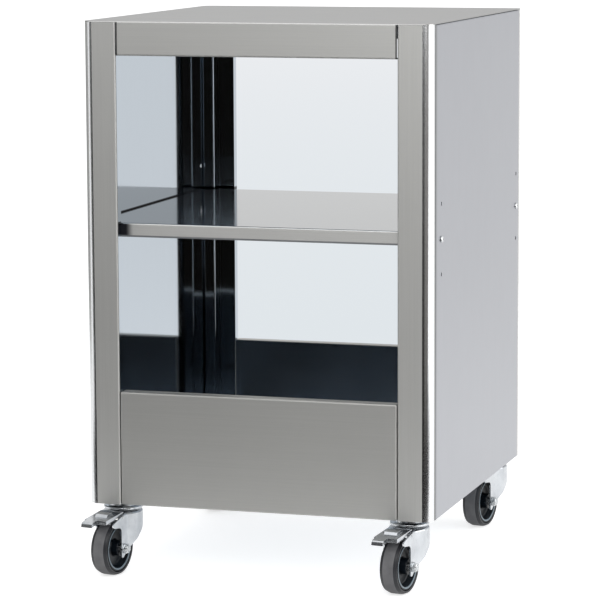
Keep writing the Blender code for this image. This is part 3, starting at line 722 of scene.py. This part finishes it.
# Trays: aprons, shelf and base
def foldTray(name, low, high, openAxis, openEnd):
    # a box without one face, its folds rounded and its sheet turned inwards
    tray = boxBetween(name, low, high)
    index = "XYZ".index(openAxis)
    bpy.ops.object.mode_set(mode="EDIT")
    pick(tray, "FACE", lambda face: face.normal[index] * openEnd > 0.9)
    bpy.ops.mesh.delete(type="FACE")
    pick(tray, "EDGE", lambda edge: not edge.is_boundary)
    bpy.ops.mesh.bevel(offset=fold, segments=6)
    clearSelection()
    thicken(tray)
    return tray


def notchTray(tray, low, high, ends):
    # cuts away the corners where the box folds of the posts stand
    side = cabinet["halfWidth"] - postShape["boxWidth"] - gap
    for way in (-1, 1):
        for end in ends:
            span = (way * side, way * (side + past))
            cutBox(tray, span, behindFold(end), (low.z - past, high.z + past))


def buildAprons():
    for end, way in (("front", 1), ("rear", -1)):
        apron = foldTray(end + "Apron", *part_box(end + "_apron"), "Y", way)
        softenEdges(apron)
        finishPiece(apron, end + "_apron", apronSteel, linerSteel)


buildAprons()


def buildShelf():
    low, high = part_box("shelf")
    tray = foldTray("shelf", low, high, "Z", -1)
    notchTray(tray, low, high, (-1,))
    for y in sideShape["columns"]:
        cutHole(tray, (0, y, screwRow), sideShape["hole"], "X", length=1)
    softenEdges(tray)
    repaint(tray, 2, lambda face: face.center.z < high.z - fold / 2)
    finishPiece(tray, "shelf", shelfSteel, innerSteel, shelfFront, slot="bright_stainless")


buildShelf()

baseShape = {"bore": 0.0054, "channelSheet": 0.0025, "channelBend": 0.0037}


def casterPlaces():
    # swivel axes from the record's joints
    ending = "_swivel_turn"
    joints = [joint for joint in frame["joints"] if joint["name"].endswith(ending)]
    return {joint["name"][: -len(ending)]: Vector(joint["pos_m"]) for joint in joints}


def boreStuds(piece, low, high, radius):
    for place in casterPlaces().values():
        if low.x < place.x < high.x:
            cutHole(piece, (place.x, place.y, low.z), radius, "Z")


def buildBase(look):
    low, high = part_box("base_panel")
    tray = foldTray("basePanel", low, high, "Z", 1)
    notchTray(tray, low, high, (-1, 1))
    boreStuds(tray, low, high, look["bore"])
    softenEdges(tray)
    finishPiece(tray, "base_panel", linerSteel, linerSteel)
    for side in ("left", "right"):
        low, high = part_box(side + "_stiffener")
        corners = [
            (low.x, low.y, high.z, 0),
            (low.x, low.y, low.z, look["channelBend"]),
            (high.x, low.y, low.z, look["channelBend"]),
            (high.x, low.y, high.z, 0),
        ]
        run, thickness = (0, high.y - low.y, 0), look["channelSheet"]
        channel = foldSheet(side + "Stiffener", corners, run, (-1, 0, 0), thickness=thickness)
        boreStuds(channel, low, high, look["bore"])
        softenEdges(channel)
        finishPiece(channel, side + "_stiffener", innerSteel, innerSteel)


buildBase(baseShape)
print("trays folded")


def hexBlock(name, flats, start, end, axis, bevel):
    # hexagon bar whose end corners are turned off, as on a forged nut or bolt head
    corner, middle = flats / math.sqrt(3), (start + end) / 2
    place = (middle, 0, 0) if axis == "X" else (0, 0, middle)
    block = rodAt(name, place, corner, end - start, axis, 6)
    half = [(0, start), (flats / 2 - bevel / 4, start), (corner + bevel, start + bevel)]
    cutWith(block, turnProfile("turned", mirrorLine(half, start + end), axis, 48), "INTERSECT")
    return block


def threadLine(radius, start, end, pitch):
    # sawtooth profile of a thread from start to end along the axis
    count = max(1, round(abs(end - start) / pitch))
    step = (end - start) / count
    points = []
    for turn in range(count):
        points.append((radius, start + step * (turn + 0.1)))
        points.append((radius - pitch * 0.4, start + step * (turn + 0.6)))
    return points + [(radius, end)]


# Shelf screws and their nuts
screwShape = {
    "radius": 0.0025, "headRadius": 0.0048, "headHeight": 0.0026,
    "brim": 0.0009,      # straight part of the head's side
    "chamfer": 0.0002, "length": 0.0095, "pitch": 0.0008, "cross": (0.0009, 0.0025),
    "crossDepth": 0.0014, "nutFlats": 0.008, "nutBevel": 0.0005,
}


def buildShelfFixings(look):
    # made once for the right side, with the head's flat underside at x = 0
    top, brim, chamfer = look["headHeight"], look["brim"], look["chamfer"]
    radius, wide, length, pitch = look["radius"], look["headRadius"], look["length"], look["pitch"]
    profile = [(0, -length), (radius - pitch / 2, -length)]
    profile += threadLine(radius, -length + pitch, -pitch, pitch)
    profile += [(radius, 0), (wide - chamfer, 0), (wide, chamfer)]
    for degrees in range(15, 90, 15):
        turn = math.radians(degrees)
        profile.append((wide * math.cos(turn), brim + (top - brim) * math.sin(turn)))
    screw = turnProfile("shelfScrew", profile + [(0, top)], "X", 32)
    depth = (top - look["crossDepth"], top + past)
    for width, reach in (look["cross"], look["cross"][::-1]):
        cutBox(screw, depth, (-width / 2, width / 2), (-reach / 2, reach / 2))
    smoothShade(screw, 30)
    nutLow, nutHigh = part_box("front_right_shelf_nut")
    nut = hexBlock("shelfNut", look["nutFlats"], nutLow.x - nutHigh.x, 0, "X", look["nutBevel"])
    cutHole(nut, (0, 0, 0), radius + gap / 2, "X", 24)
    smoothShade(nut, 30)
    for corner in cornerNames:
        way = -1 if corner.endswith("left") else 1
        y, z = middleOf(corner + "_shelf_screw").yz
        for piece, kind, seat in ((screw, "Screw", cabinet["halfWidth"] + gap), (nut, "Nut", nutHigh.x)):
            made = copyPiece(piece, corner + kind, (way, 1, 1), move=(way * seat, y, z))
            finishPiece(made, corner + "_shelf_" + kind.lower(), boltZinc, slot="zinc_plate")
    for piece in (screw, nut):
        bpy.data.objects.remove(piece)


buildShelfFixings(screwShape)
print("shelf fixings made")

# Casters: each piece is made once, round the swivel axis at x = y = 0, its wheel towards -Y
tyreLow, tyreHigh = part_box("front_left_tyre")
rollJoint = next(joint for joint in frame["joints"] if joint["name"] == "front_left_wheel_roll")
trail = (Vector(rollJoint["pos_m"][:2]) - casterPlaces()["front_left"].xy).length
caster = {
    "heading": math.atan2(rollJoint["axis"][1], rollJoint["axis"][0]),
    "trail": trail,
    "axle": rollJoint["pos_m"][2],
    "hub": (0, -trail, rollJoint["pos_m"][2]),
    "tyre": (tyreHigh.z - tyreLow.z) / 2,
    "crown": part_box("front_left_fork")[1].z,
    "fork": 0.0025,      # sheet of the pressed fork
    "round": 0.0285,     # radius of the head and of the fork's back
    "halfWidth": 0.0215, "bolt": 0.004, "pin": 0.002, "edge": 0.0004,
    "pinAhead": 0.004,   # of the axle
    "pinRise": 0.0065,   # above the tyre
}
casterPieces = []


def castPiece(piece, smooth, node, *finishes, slot="zinc_plate", body="swivel", braked=None):
    # remembers a piece for every caster, or only for those with a brake or without one
    if smooth:
        smoothShade(piece, smooth)
    casterPieces.append((piece, node, slot, body, finishes, braked))


headShape = {
    "neck": 0.022, "rim": 0.004, "stud": 0.005, "pitch": 0.0015,
    "runOut": 0.001,     # of the thread, above the neck
    "kingpin": 0.006, "rivet": 0.010, "rivetRise": 0.0025,
    "roll": 0.0011,      # rounding of the rim
    "nutBevel": 0.001,
    "race": 0.005,       # width of the ring
}


def buildHead(look):
    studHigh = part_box("front_left_head")[1]
    raceLow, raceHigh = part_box("front_left_bearing")
    low = raceHigh.z + gap
    high = low + look["rim"]
    neck, neckTop = look["neck"], cabinet["bottom"] - gap
    roll, stud, pitch = look["roll"], look["stud"], look["pitch"]
    rivet = caster["crown"] - caster["fork"] - gap
    profile = [(0, studHigh.z), (stud - pitch / 2, studHigh.z)]
    profile += threadLine(stud, studHigh.z - pitch / 2, neckTop + look["runOut"], pitch)
    profile += [(stud, neckTop)]
    profile += arcLine((neck - roll, neckTop - roll), roll, 90, 0)
    profile += arcLine((neck + roll, high + roll), roll, 180, 270)
    upper, lower = roll * 1.5, roll * 0.7
    profile += arcLine((caster["round"] - upper, high - upper), upper, 90, 0)
    profile += arcLine((caster["round"] - lower, low + lower), lower, 0, -90)
    profile += [(look["kingpin"], low), (look["kingpin"], rivet)]
    profile += arcLine((look["rivet"] - look["rivetRise"], rivet), look["rivetRise"], 0, -90)
    profile += [(0, rivet - look["rivetRise"])]
    head = turnProfile("head", profile, "Z", 64)
    castPiece(head, 40, "head", zincPlate, body="cabinet")

    nutLow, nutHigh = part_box("front_left_stud_nut")
    nut = hexBlock("studNut", nutHigh.x - nutLow.x, nutLow.z, nutHigh.z, "Z", look["nutBevel"])
    cutHole(nut, (0, 0, nutLow.z), stud + gap / 2, "Z")
    castPiece(nut, 30, "stud_nut", boltZinc, body="cabinet")

    outer, edge = (raceHigh.x - raceLow.x) / 2, caster["edge"]
    inner, groove = outer - look["race"], (raceLow.z + raceHigh.z) / 2
    half = [
        (inner, raceLow.z + edge), (inner + edge, raceLow.z), (outer - edge, raceLow.z),
        (outer, raceLow.z + edge), (outer, groove - edge / 2),
    ]
    # a groove between the two halves
    ring = mirrorLine(half, raceLow.z + raceHigh.z)
    ring.insert(len(half), (outer - edge, groove))
    race = turnProfile("bearing", ring, "Z", 64)
    castPiece(race, 40, "bearing", zincPlate)


buildHead(headShape)

forkShape = {
    "neckLine": 0.027,
    "shoulder": 0.0034,  # fold between the crown and the cheeks
    "noseAhead": 0.032, "noseRise": 0.0005, "throatDrop": 0.008,
    "toeDrop": 0.0125,   # of the rear edge's lower end, below the axle
    "backRise": 0.026, "brow": 0.0225, "legRadius": 0.0085, "curve": 0.007,
    "window": 0.0305,    # the crown ends here, where the pedal begins
    "edge": 0.0005,
}


def forkBlock(name, look, inset, nose, low, high):
    # round behind the kingpin and parallel beside the wheel in plan, with a rounded shoulder
    half, back, bend = caster["halfWidth"] - inset, caster["round"] - inset, caster["trail"] / 3
    right = [(half, -nose, 0), (half, -look["neckLine"], bend), (back, -back / 3, bend)]
    rear = [(back, back, back * 0.999), (-back, back, back * 0.999)]
    left = [(-x, y, radius) for x, y, radius in reversed(right)]
    corners = [(x, y, low, radius) for x, y, radius in right + rear + left]
    block = traceBlock(name, corners, (0, 0, high - low), 12)
    bpy.ops.object.mode_set(mode="EDIT")
    pick(block, "EDGE", lambda edge: all(vert.co.z > high - 1e-5 for vert in edge.verts))
    bpy.ops.mesh.bevel(offset=look["shoulder"] - inset, segments=5)
    tidyMesh(block)
    return block


def buildFork(look, braked):
    back, crown, trail = caster["round"], caster["crown"], caster["trail"]
    nose, top = trail + look["noseAhead"], 2 * caster["tyre"]
    wall, curve, heel = caster["fork"], look["curve"], -trail - look["legRadius"]
    fork = forkBlock("fork", look, 0, nose, 0, crown)
    cutWith(fork, forkBlock("hollow", look, wall, 2 * nose, -crown, crown - wall))
    toe, throat = caster["axle"] - look["toeDrop"], top - look["throatDrop"]
    outline = [
        (2 * back, 2 * crown, 0),
        (2 * back, top + look["backRise"], 0),
        (heel + 2 * fold, toe, fold),
        (heel, toe, fold),
        (heel, throat, curve),
        (-nose + fold, throat + fold, fold),
        (-nose, top + look["noseRise"], fold),
        (-look["brow"], crown + fold, fold),
        (-look["brow"], 2 * crown, 0),
    ]
    corners = [(-2 * back, y, z, radius) for y, z, radius in outline]
    cutWith(fork, traceBlock("side", corners, (4 * back, 0, 0), 8), "INTERSECT")
    inner = caster["halfWidth"] - wall
    cutBox(fork, (-inner, inner), (-2 * nose, -look["window"]), (crown / 2, 2 * crown))
    cutHole(fork, caster["hub"], caster["bolt"] + gap, "X", 40)
    cutHole(fork, (0, 0, crown), headShape["kingpin"] + gap, "Z", 40)
    if braked:
        pivot = (0, -trail - caster["pinAhead"], top + caster["pinRise"])
        cutHole(fork, pivot, caster["pin"] + gap, "X")
    tidyMesh(fork)
    softenEdges(fork, look["edge"], 2, 40)
    castPiece(fork, None, "fork", zincPlate, braked=braked)


buildFork(forkShape, True)
buildFork(forkShape, False)

axleShape = {
    "flats": 0.013, "bevel": 0.0009, "head": 0.0053, "nut": 0.0065,
    "collar": 0.0022,    # round top of the lock nut
    "chamfer": 0.0008,
    "dish": 0.0006,      # depth and rim of the hollow in the lock nut's top
    "sleeve": 0.006,
}


def buildAxle(look):
    bolt, dish, chamfer = caster["bolt"], look["dish"], look["chamfer"]
    seat = caster["halfWidth"] + gap
    flats, bevel, nutEnd = look["flats"], look["bevel"], seat + look["nut"] - look["collar"]
    head = hexBlock("axle", flats, -seat - look["head"], -seat, "X", bevel)
    nut = hexBlock("axleNut", flats, seat, nutEnd, "X", bevel)
    collar, start, end = flats / 2 - dish, -seat - look["head"] / 2, seat + look["nut"]
    shank = turnProfile("shank", [
        (0, start), (bolt, start), (bolt, seat + look["nut"] / 2), (collar, seat + look["nut"] / 2),
        (collar, end - chamfer), (collar - chamfer, end), (bolt + dish, end),
        (bolt + dish / 3, end - dish), (bolt - dish, end - dish), (bolt - chamfer, end + gap),
        (0, end + gap),
    ], "X", 40)
    cutWith(head, nut, "UNION")
    cutWith(head, shank, "UNION")
    moveTo(head, caster["hub"])
    castPiece(head, 30, "axle", boltZinc)

    end, outer, edge = caster["halfWidth"] - caster["fork"] - gap, look["sleeve"], caster["edge"]
    half = [(bolt + gap, end), (outer - edge, end), (outer, end - edge)]
    sleeve = turnProfile("sleeve", mirrorLine(half), "X", 40)
    moveTo(sleeve, caster["hub"])
    castPiece(sleeve, 40, "sleeve", boltZinc)


buildAxle(axleShape)

wheelShape = {
    "tread": 0.026, "crown": 0.0028, "flat": 0.012, "thickness": 0.006,
    "web": 0.003,        # half of the web's thickness
    "rimRoot": 0.0075, "rimWall": 0.004, "hubRadius": 0.0115, "hubHalf": 0.015, "bore": 0.0063,
    "bead": 0.0009, "rimLine": 0.0018,
    "lip": 1.4,          # width of the tyre's side lip, in folds
    "steps": 12,         # across half of the running surface
    # a second finish lies between these distances from the middle, and these radii; on the wheel it is a
    # painted highlight on the rim's edge
    "treadBand": (-1, 0.0085, 0.037, 1), "rimBand": (0.0118, 1, 0.029, 0.0318),
}


def finishRound(piece, band):
    def inBand(face):
        radius = math.hypot(face.center.y, face.center.z)
        return band[0] < abs(face.center.x) < band[1] and band[2] < radius < band[3]

    addSlots(piece, 2)
    repaint(piece, 1, inBand)
    moveTo(piece, caster["hub"])


def buildWheel(look):
    edge, inner = look["tread"] / 2, caster["tyre"] - look["thickness"]
    bead, web, bore, hubHalf = look["bead"], look["web"] + fold, look["bore"], look["hubHalf"]
    rimTop, rimEdge = inner - look["rimWall"], edge - gap
    half = [(bore, hubHalf - bead / 2), (bore + bead / 2, hubHalf)]
    half += arcLine((look["hubRadius"] - bead, hubHalf - bead), bead, 90, 0, 3)
    half += arcLine((look["hubRadius"] + fold, web), fold, 180, 270, 6)
    half += arcLine((inner - look["rimRoot"] - fold, web), fold, 270, 345, 6)
    half += [(rimTop - bead / 2, rimEdge - bead)]
    half += arcLine((rimTop + bead / 2, rimEdge - bead), bead, 180, 90, 4)
    half += [(rimTop + look["rimLine"], rimEdge), (inner - bead, rimEdge), (inner, rimEdge - bead)]
    wheel = turnProfile("wheel", mirrorLine(half), "X", 72)
    # the rim's edge takes the painted highlight
    finishRound(wheel, look["rimBand"])
    castPiece(wheel, 35, "wheel", wheelNylon, rimNylon, slot="wheel_plastic", body="roller")

    inner += gap
    shoulder = edge - look["flat"] / 2
    half = [(inner, edge - fold), (inner + bead, edge - bead / 2)]
    half += [(inner + fold, edge), (inner + look["lip"] * fold, edge)]
    for step in range(look["steps"] + 1):
        share = 1 - step / look["steps"]
        half.append((caster["tyre"] - look["crown"] * share ** 2, look["flat"] / 2 + shoulder * share))
    tyre = turnProfile("tyre", mirrorLine(half), "X", 96)
    finishRound(tyre, look["treadBand"])
    castPiece(tyre, 45, "tyre", wallRubber, treadRubber, slot="tyre_rubber", body="roller")


buildWheel(wheelShape)

pedalShape = {
    "plate": 0.002, "halfWidth": 0.018, "start": 0.0315, "reach": 0.0934,
    "body": 0.080,       # reach of the full width
    "tongue": (-0.015, 0.003), "startRise": 0.0135, "tipRise": 0.0070, "skirt": 0.0055,
    "lip": 0.007, "eye": 0.0042, "drop": 0.0072, "travel": 10, "shoeHalf": 0.011,
    "shoeGap": 0.0005, "shoeArc": (14, 30), "padHalf": 0.010, "padRise": 0.0035,
    "padStart": 0.047, "padEnd": 0.062, "slotWidth": 0.0028, "slotLength": 0.009,
    "edge": 0.0006,
}


def buildPedal(look):
    top, plate, wide = 2 * caster["tyre"], look["plate"], look["halfWidth"]
    start, reach, tip = look["start"], look["reach"], top + look["tipRise"]
    skirt, eye = look["skirt"], look["eye"]
    pinForward, pinHeight = caster["trail"] + caster["pinAhead"], top + caster["pinRise"]
    slope = (look["tipRise"] - look["startRise"]) / (reach - start)

    def tread(forward):
        # height of the tread's upper face
        return top + look["startRise"] + slope * (forward - start)

    def across(name, outline, left, right):
        # an outline seen from the side, filled from left to right
        corners = [(left, y, z, radius) for y, z, radius in outline]
        return traceBlock(name, corners, (right - left, 0, 0))

    pedal = across("pedal", [
        (-start, tread(start), 0),
        (-reach, tip, plate * 2),
        (-reach - plate, tip - look["lip"], 0),
        (-reach + 2 * plate, tip - skirt, 0),
        (-pinForward - 2 * eye, tread(pinForward) - skirt, skirt * 0.9),
        (-pinForward, pinHeight - look["drop"], eye * 0.9),
        (-start, pinHeight - eye / 3, eye / 3),
    ], -wide, wide)
    left, right = look["tongue"]
    for span in ((-2 * wide, left), (right, 2 * wide)):
        cutBox(pedal, span, (-2 * reach, -look["body"]), (0, 2 * top))
    body = (look["body"], plate - wide, wide - plate, plate)
    tongue = (reach, left + plate, right - plate, plate + gap)
    for end, near, far, skin in (body, tongue):
        stop, under = end - 1.5 * plate, tread(start) - skin
        cutWith(pedal, across("under", [
            (reach, under, 0),
            (-start, under, 0),
            (-stop, tread(stop) - skin, 0),
            (-stop - plate, 0, 0),
            (reach, 0, 0),
        ], near, far))
    middle = (look["padStart"] + look["padEnd"]) / 2
    halfWidth, halfLength = look["slotWidth"] / 2, look["slotLength"] / 2
    depth = (tread(middle) - 2 * plate, tread(middle) + 2 * plate)
    for way in (-1, 1):
        x = way * (look["padHalf"] + look["slotWidth"])
        cutBox(pedal, (x - halfWidth, x + halfWidth), (-middle - halfLength, -middle + halfLength), depth)
    rise, near, far = look["padRise"], look["padStart"], look["padEnd"]
    cutWith(pedal, across("pad", [
        (-near, tread(near) - plate / 2, 0),
        (-near - rise, tread(near) + rise, rise / 3),
        (-far, tread(far) + rise, rise / 3),
        (-far - rise, tread(far) - plate / 2, 0),
    ], -look["padHalf"], look["padHalf"]), "UNION")
    # the shoe's face follows the tyre once the pedal has made its travel
    lift = math.radians(look["travel"])
    centre = (caster["axle"] - pinHeight, caster["trail"] - pinForward)
    face = [
        (
            -pinForward - forward * math.cos(lift) + height * math.sin(lift),
            pinHeight + height * math.cos(lift) + forward * math.sin(lift), 0,
        )
        for height, forward in arcLine(centre, caster["tyre"] + look["shoeGap"], *look["shoeArc"], 6)
    ]
    back = [(y, tread(-y) - plate / 2, 0) for y in (face[-1][0], face[0][0])]
    cutWith(pedal, across("shoe", face + back, -look["shoeHalf"], look["shoeHalf"]), "UNION")
    cutHole(pedal, (0, -pinForward, pinHeight), caster["pin"] + gap, "X")
    tidyMesh(pedal)
    softenEdges(pedal, look["edge"], 3, 40)
    castPiece(pedal, None, "pedal", zincPlate, body="brake", braked=True)

    end, radius, dome = caster["halfWidth"] + plate / 2, caster["pin"], caster["pin"] / 2
    half = [(0, end)]
    half += [(radius * math.cos(turn), end - dome + dome * math.sin(turn)) for turn in (1, 0.5, 0)]
    pin = turnProfile("pedalPin", mirrorLine(half), "X", 32)
    moveTo(pin, (0, -pinForward, pinHeight))
    castPiece(pin, 50, "pedal_pin", boltZinc, braked=True)


buildPedal(pedalShape)


def placeCasters():
    # the two casters at the front have the brakes
    for corner, place in casterPlaces().items():
        for piece, node, slot, body, finishes, braked in casterPieces:
            if braked not in (None, corner.startswith("front")):
                continue
            turn, rider = (0, body) if body == "cabinet" else (caster["heading"], corner + "_" + body)
            name = corner + node.title().replace("_", "")
            made = copyPiece(piece, name, turn=turn, move=(place.x, place.y, 0))
            finishPiece(made, corner + "_" + node, *finishes, slot=slot, body=rider)
    for entry in casterPieces:
        bpy.data.objects.remove(entry[0])


placeCasters()
print("casters placed")


studio = {
    "fill": 0.8,             # of the white room on matt surfaces
    "floorColor": (0.62, 0.62, 0.62),
    "floorGlow": 0.66,       # lifts the lit floor to white and keeps its shadow
    "boxes": {
        # place, turn about X, Y and Z in degrees, width and height, radiance
        "rightBox": ((2.45, -0.15, 1.15), (0, 90, 0), (2.3, 2.9), 1.5),
        "frontBox": ((0.9, -2.3, 1.45), (65, 0, 0), (2.2, 1.4), 2.75),
        "topBox": ((-0.4, -0.6, 2.9), (0, 0, 0), (2.6, 2.2), 0.8),
    },
    "cloths": {
        # low and high corners and colour of cloths that only polished metal shows
        "leftHung": ((-1.8, -1.552, 0.0), (-0.8, -1.55, 0.85), (0.11, 0.11, 0.105)),
        "blueHung": ((-0.8, -1.552, 0.0), (-0.1, -1.55, 0.85), (0.030, 0.031, 0.040)),
        "darkHung": ((-0.1, -1.552, 0.0), (0.52, -1.55, 0.85), (0.012, 0.010, 0.008)),
        "greyHung": ((0.52, -1.552, 0.0), (2.6, -1.55, 0.85), (0.20, 0.19, 0.18)),
        "darkLaid": ((-1.2, -1.55, 0.001), (1.6, -0.5, 0.003), (0.014, 0.013, 0.013)),
        "greySide": ((-2.402, -0.8, 0.0), (-2.4, 3.4, 2.2), (0.46, 0.46, 0.45)),
    },
}


def addPathMask(tree):
    # 1 for what the camera sees, straight on, in metal or through glass
    path = tree.nodes.new("ShaderNodeLightPath").outputs
    shine = calculate("MAXIMUM", path["Is Camera Ray"], path["Is Glossy Ray"])
    return calculate("MAXIMUM", shine, path["Is Transmission Ray"])


def buildStudio(look):
    world = bpy.data.worlds.new("studio")
    scene.world = world
    world.use_nodes = True
    tree = world.node_tree
    strength = stretchValue(addPathMask(tree), 0, 1, look["fill"], 1)
    feed(tree.nodes["Background"], {"Color": (1, 1, 1), "Strength": strength})

    clearSelection()
    bpy.ops.mesh.primitive_plane_add(size=60, location=(0, 0, 0))
    floor = takeAdded("floor")
    material, tree, shader = newMaterial("paleFloor")
    feed(shader, {
        "Base Color": look["floorColor"],
        "Roughness": 0.9,
        "Specular IOR Level": 0.1,
        "Emission Color": (1, 1, 1),
        "Emission Strength": stretchValue(addPathMask(tree), 0, 1, 0, look["floorGlow"]),
    })
    floor.data.materials.append(material)

    for name, (place, turn, size, radiance) in look["boxes"].items():
        bpy.ops.object.light_add(type="AREA", location=place, rotation=[math.radians(t) for t in turn])
        box = bpy.context.object
        box.name = name
        box.data.shape = "RECTANGLE"
        box.data.size, box.data.size_y = size
        box.data.energy = radiance * math.pi * size[0] * size[1]
        box.visible_camera = False

    for name, (low, high, color) in look["cloths"].items():
        material, tree, shader = newMaterial(name + "Weave")
        feed(shader, {"Base Color": color, "Roughness": 1, "Specular IOR Level": 0})
        cloth = boxBetween(name, low, high)
        cloth.data.materials.append(material)
        cloth.visible_camera = cloth.visible_diffuse = cloth.visible_shadow = False


buildStudio(studio)

# Painted shade on the floor behind the cabinet: a soft pale grey that glows for camera and glossy rays.
# It fans out from where the camera stands at rest, so it fills the openings in that view only. It stays
# put on the floor.
floorShadeLook = {
    "corners": ((-0.4345, 0.392), (0.1768, 0.5816), (-3.757, 17.16), (-6.3835, 16.346)),
    "thickness": 0.0005,
    "spread": (-0.056, -0.0224, 0.0336, 0.0675),   # sideways over distance, faded in and out
    "reach": (5.2, 6.5, 18.5, 21.5),
    "near": (0.745, 0.791, 0.823),
    "far": (0.831, 0.847, 0.871),
}


def layFloorShade(look):
    corners = [(x, y, 0, 0) for x, y in look["corners"]]
    patch = traceBlock("haze", corners, (0, 0, look["thickness"]))
    material, tree, shader = newMaterial("paleHaze")
    x, y, height = cameraLook["place"]
    inputs = {"Location": (x, y, 0), "Rotation": (0, 0, math.radians(cameraLook["turn"]))}
    fan = addNode(tree, "ShaderNodeMapping", inputs, vector_type="TEXTURE")
    feed(fan, {"Vector": objectPlace(tree)})
    away = addNode(tree, "ShaderNodeSeparateXYZ", {0: fan.outputs["Vector"]}).outputs
    slope = calculate("DIVIDE", away["X"], away["Y"])
    cover = 1
    for value, ends in ((slope, look["spread"]), (away["Y"], look["reach"])):
        for start, end in ((ends[0], ends[1]), (ends[3], ends[2])):
            fade = stretchValue(value, start, end, interpolation_type="SMOOTHSTEP")
            cover = calculate("MULTIPLY", fade, cover)
    share = stretchValue(away["Y"], *look["reach"][1:3])
    feed(shader, {
        "Alpha": cover,
        "Base Color": (0, 0, 0),
        "Specular IOR Level": 0,
        "Emission Color": blendColors(look["near"], look["far"], share),
        "Emission Strength": addPathMask(tree),
    })
    patch.data.materials.append(material)
    patch.visible_shadow = False


layFloorShade(floorShadeLook)
scene.view_settings.view_transform = "Standard"
print("studio lit")
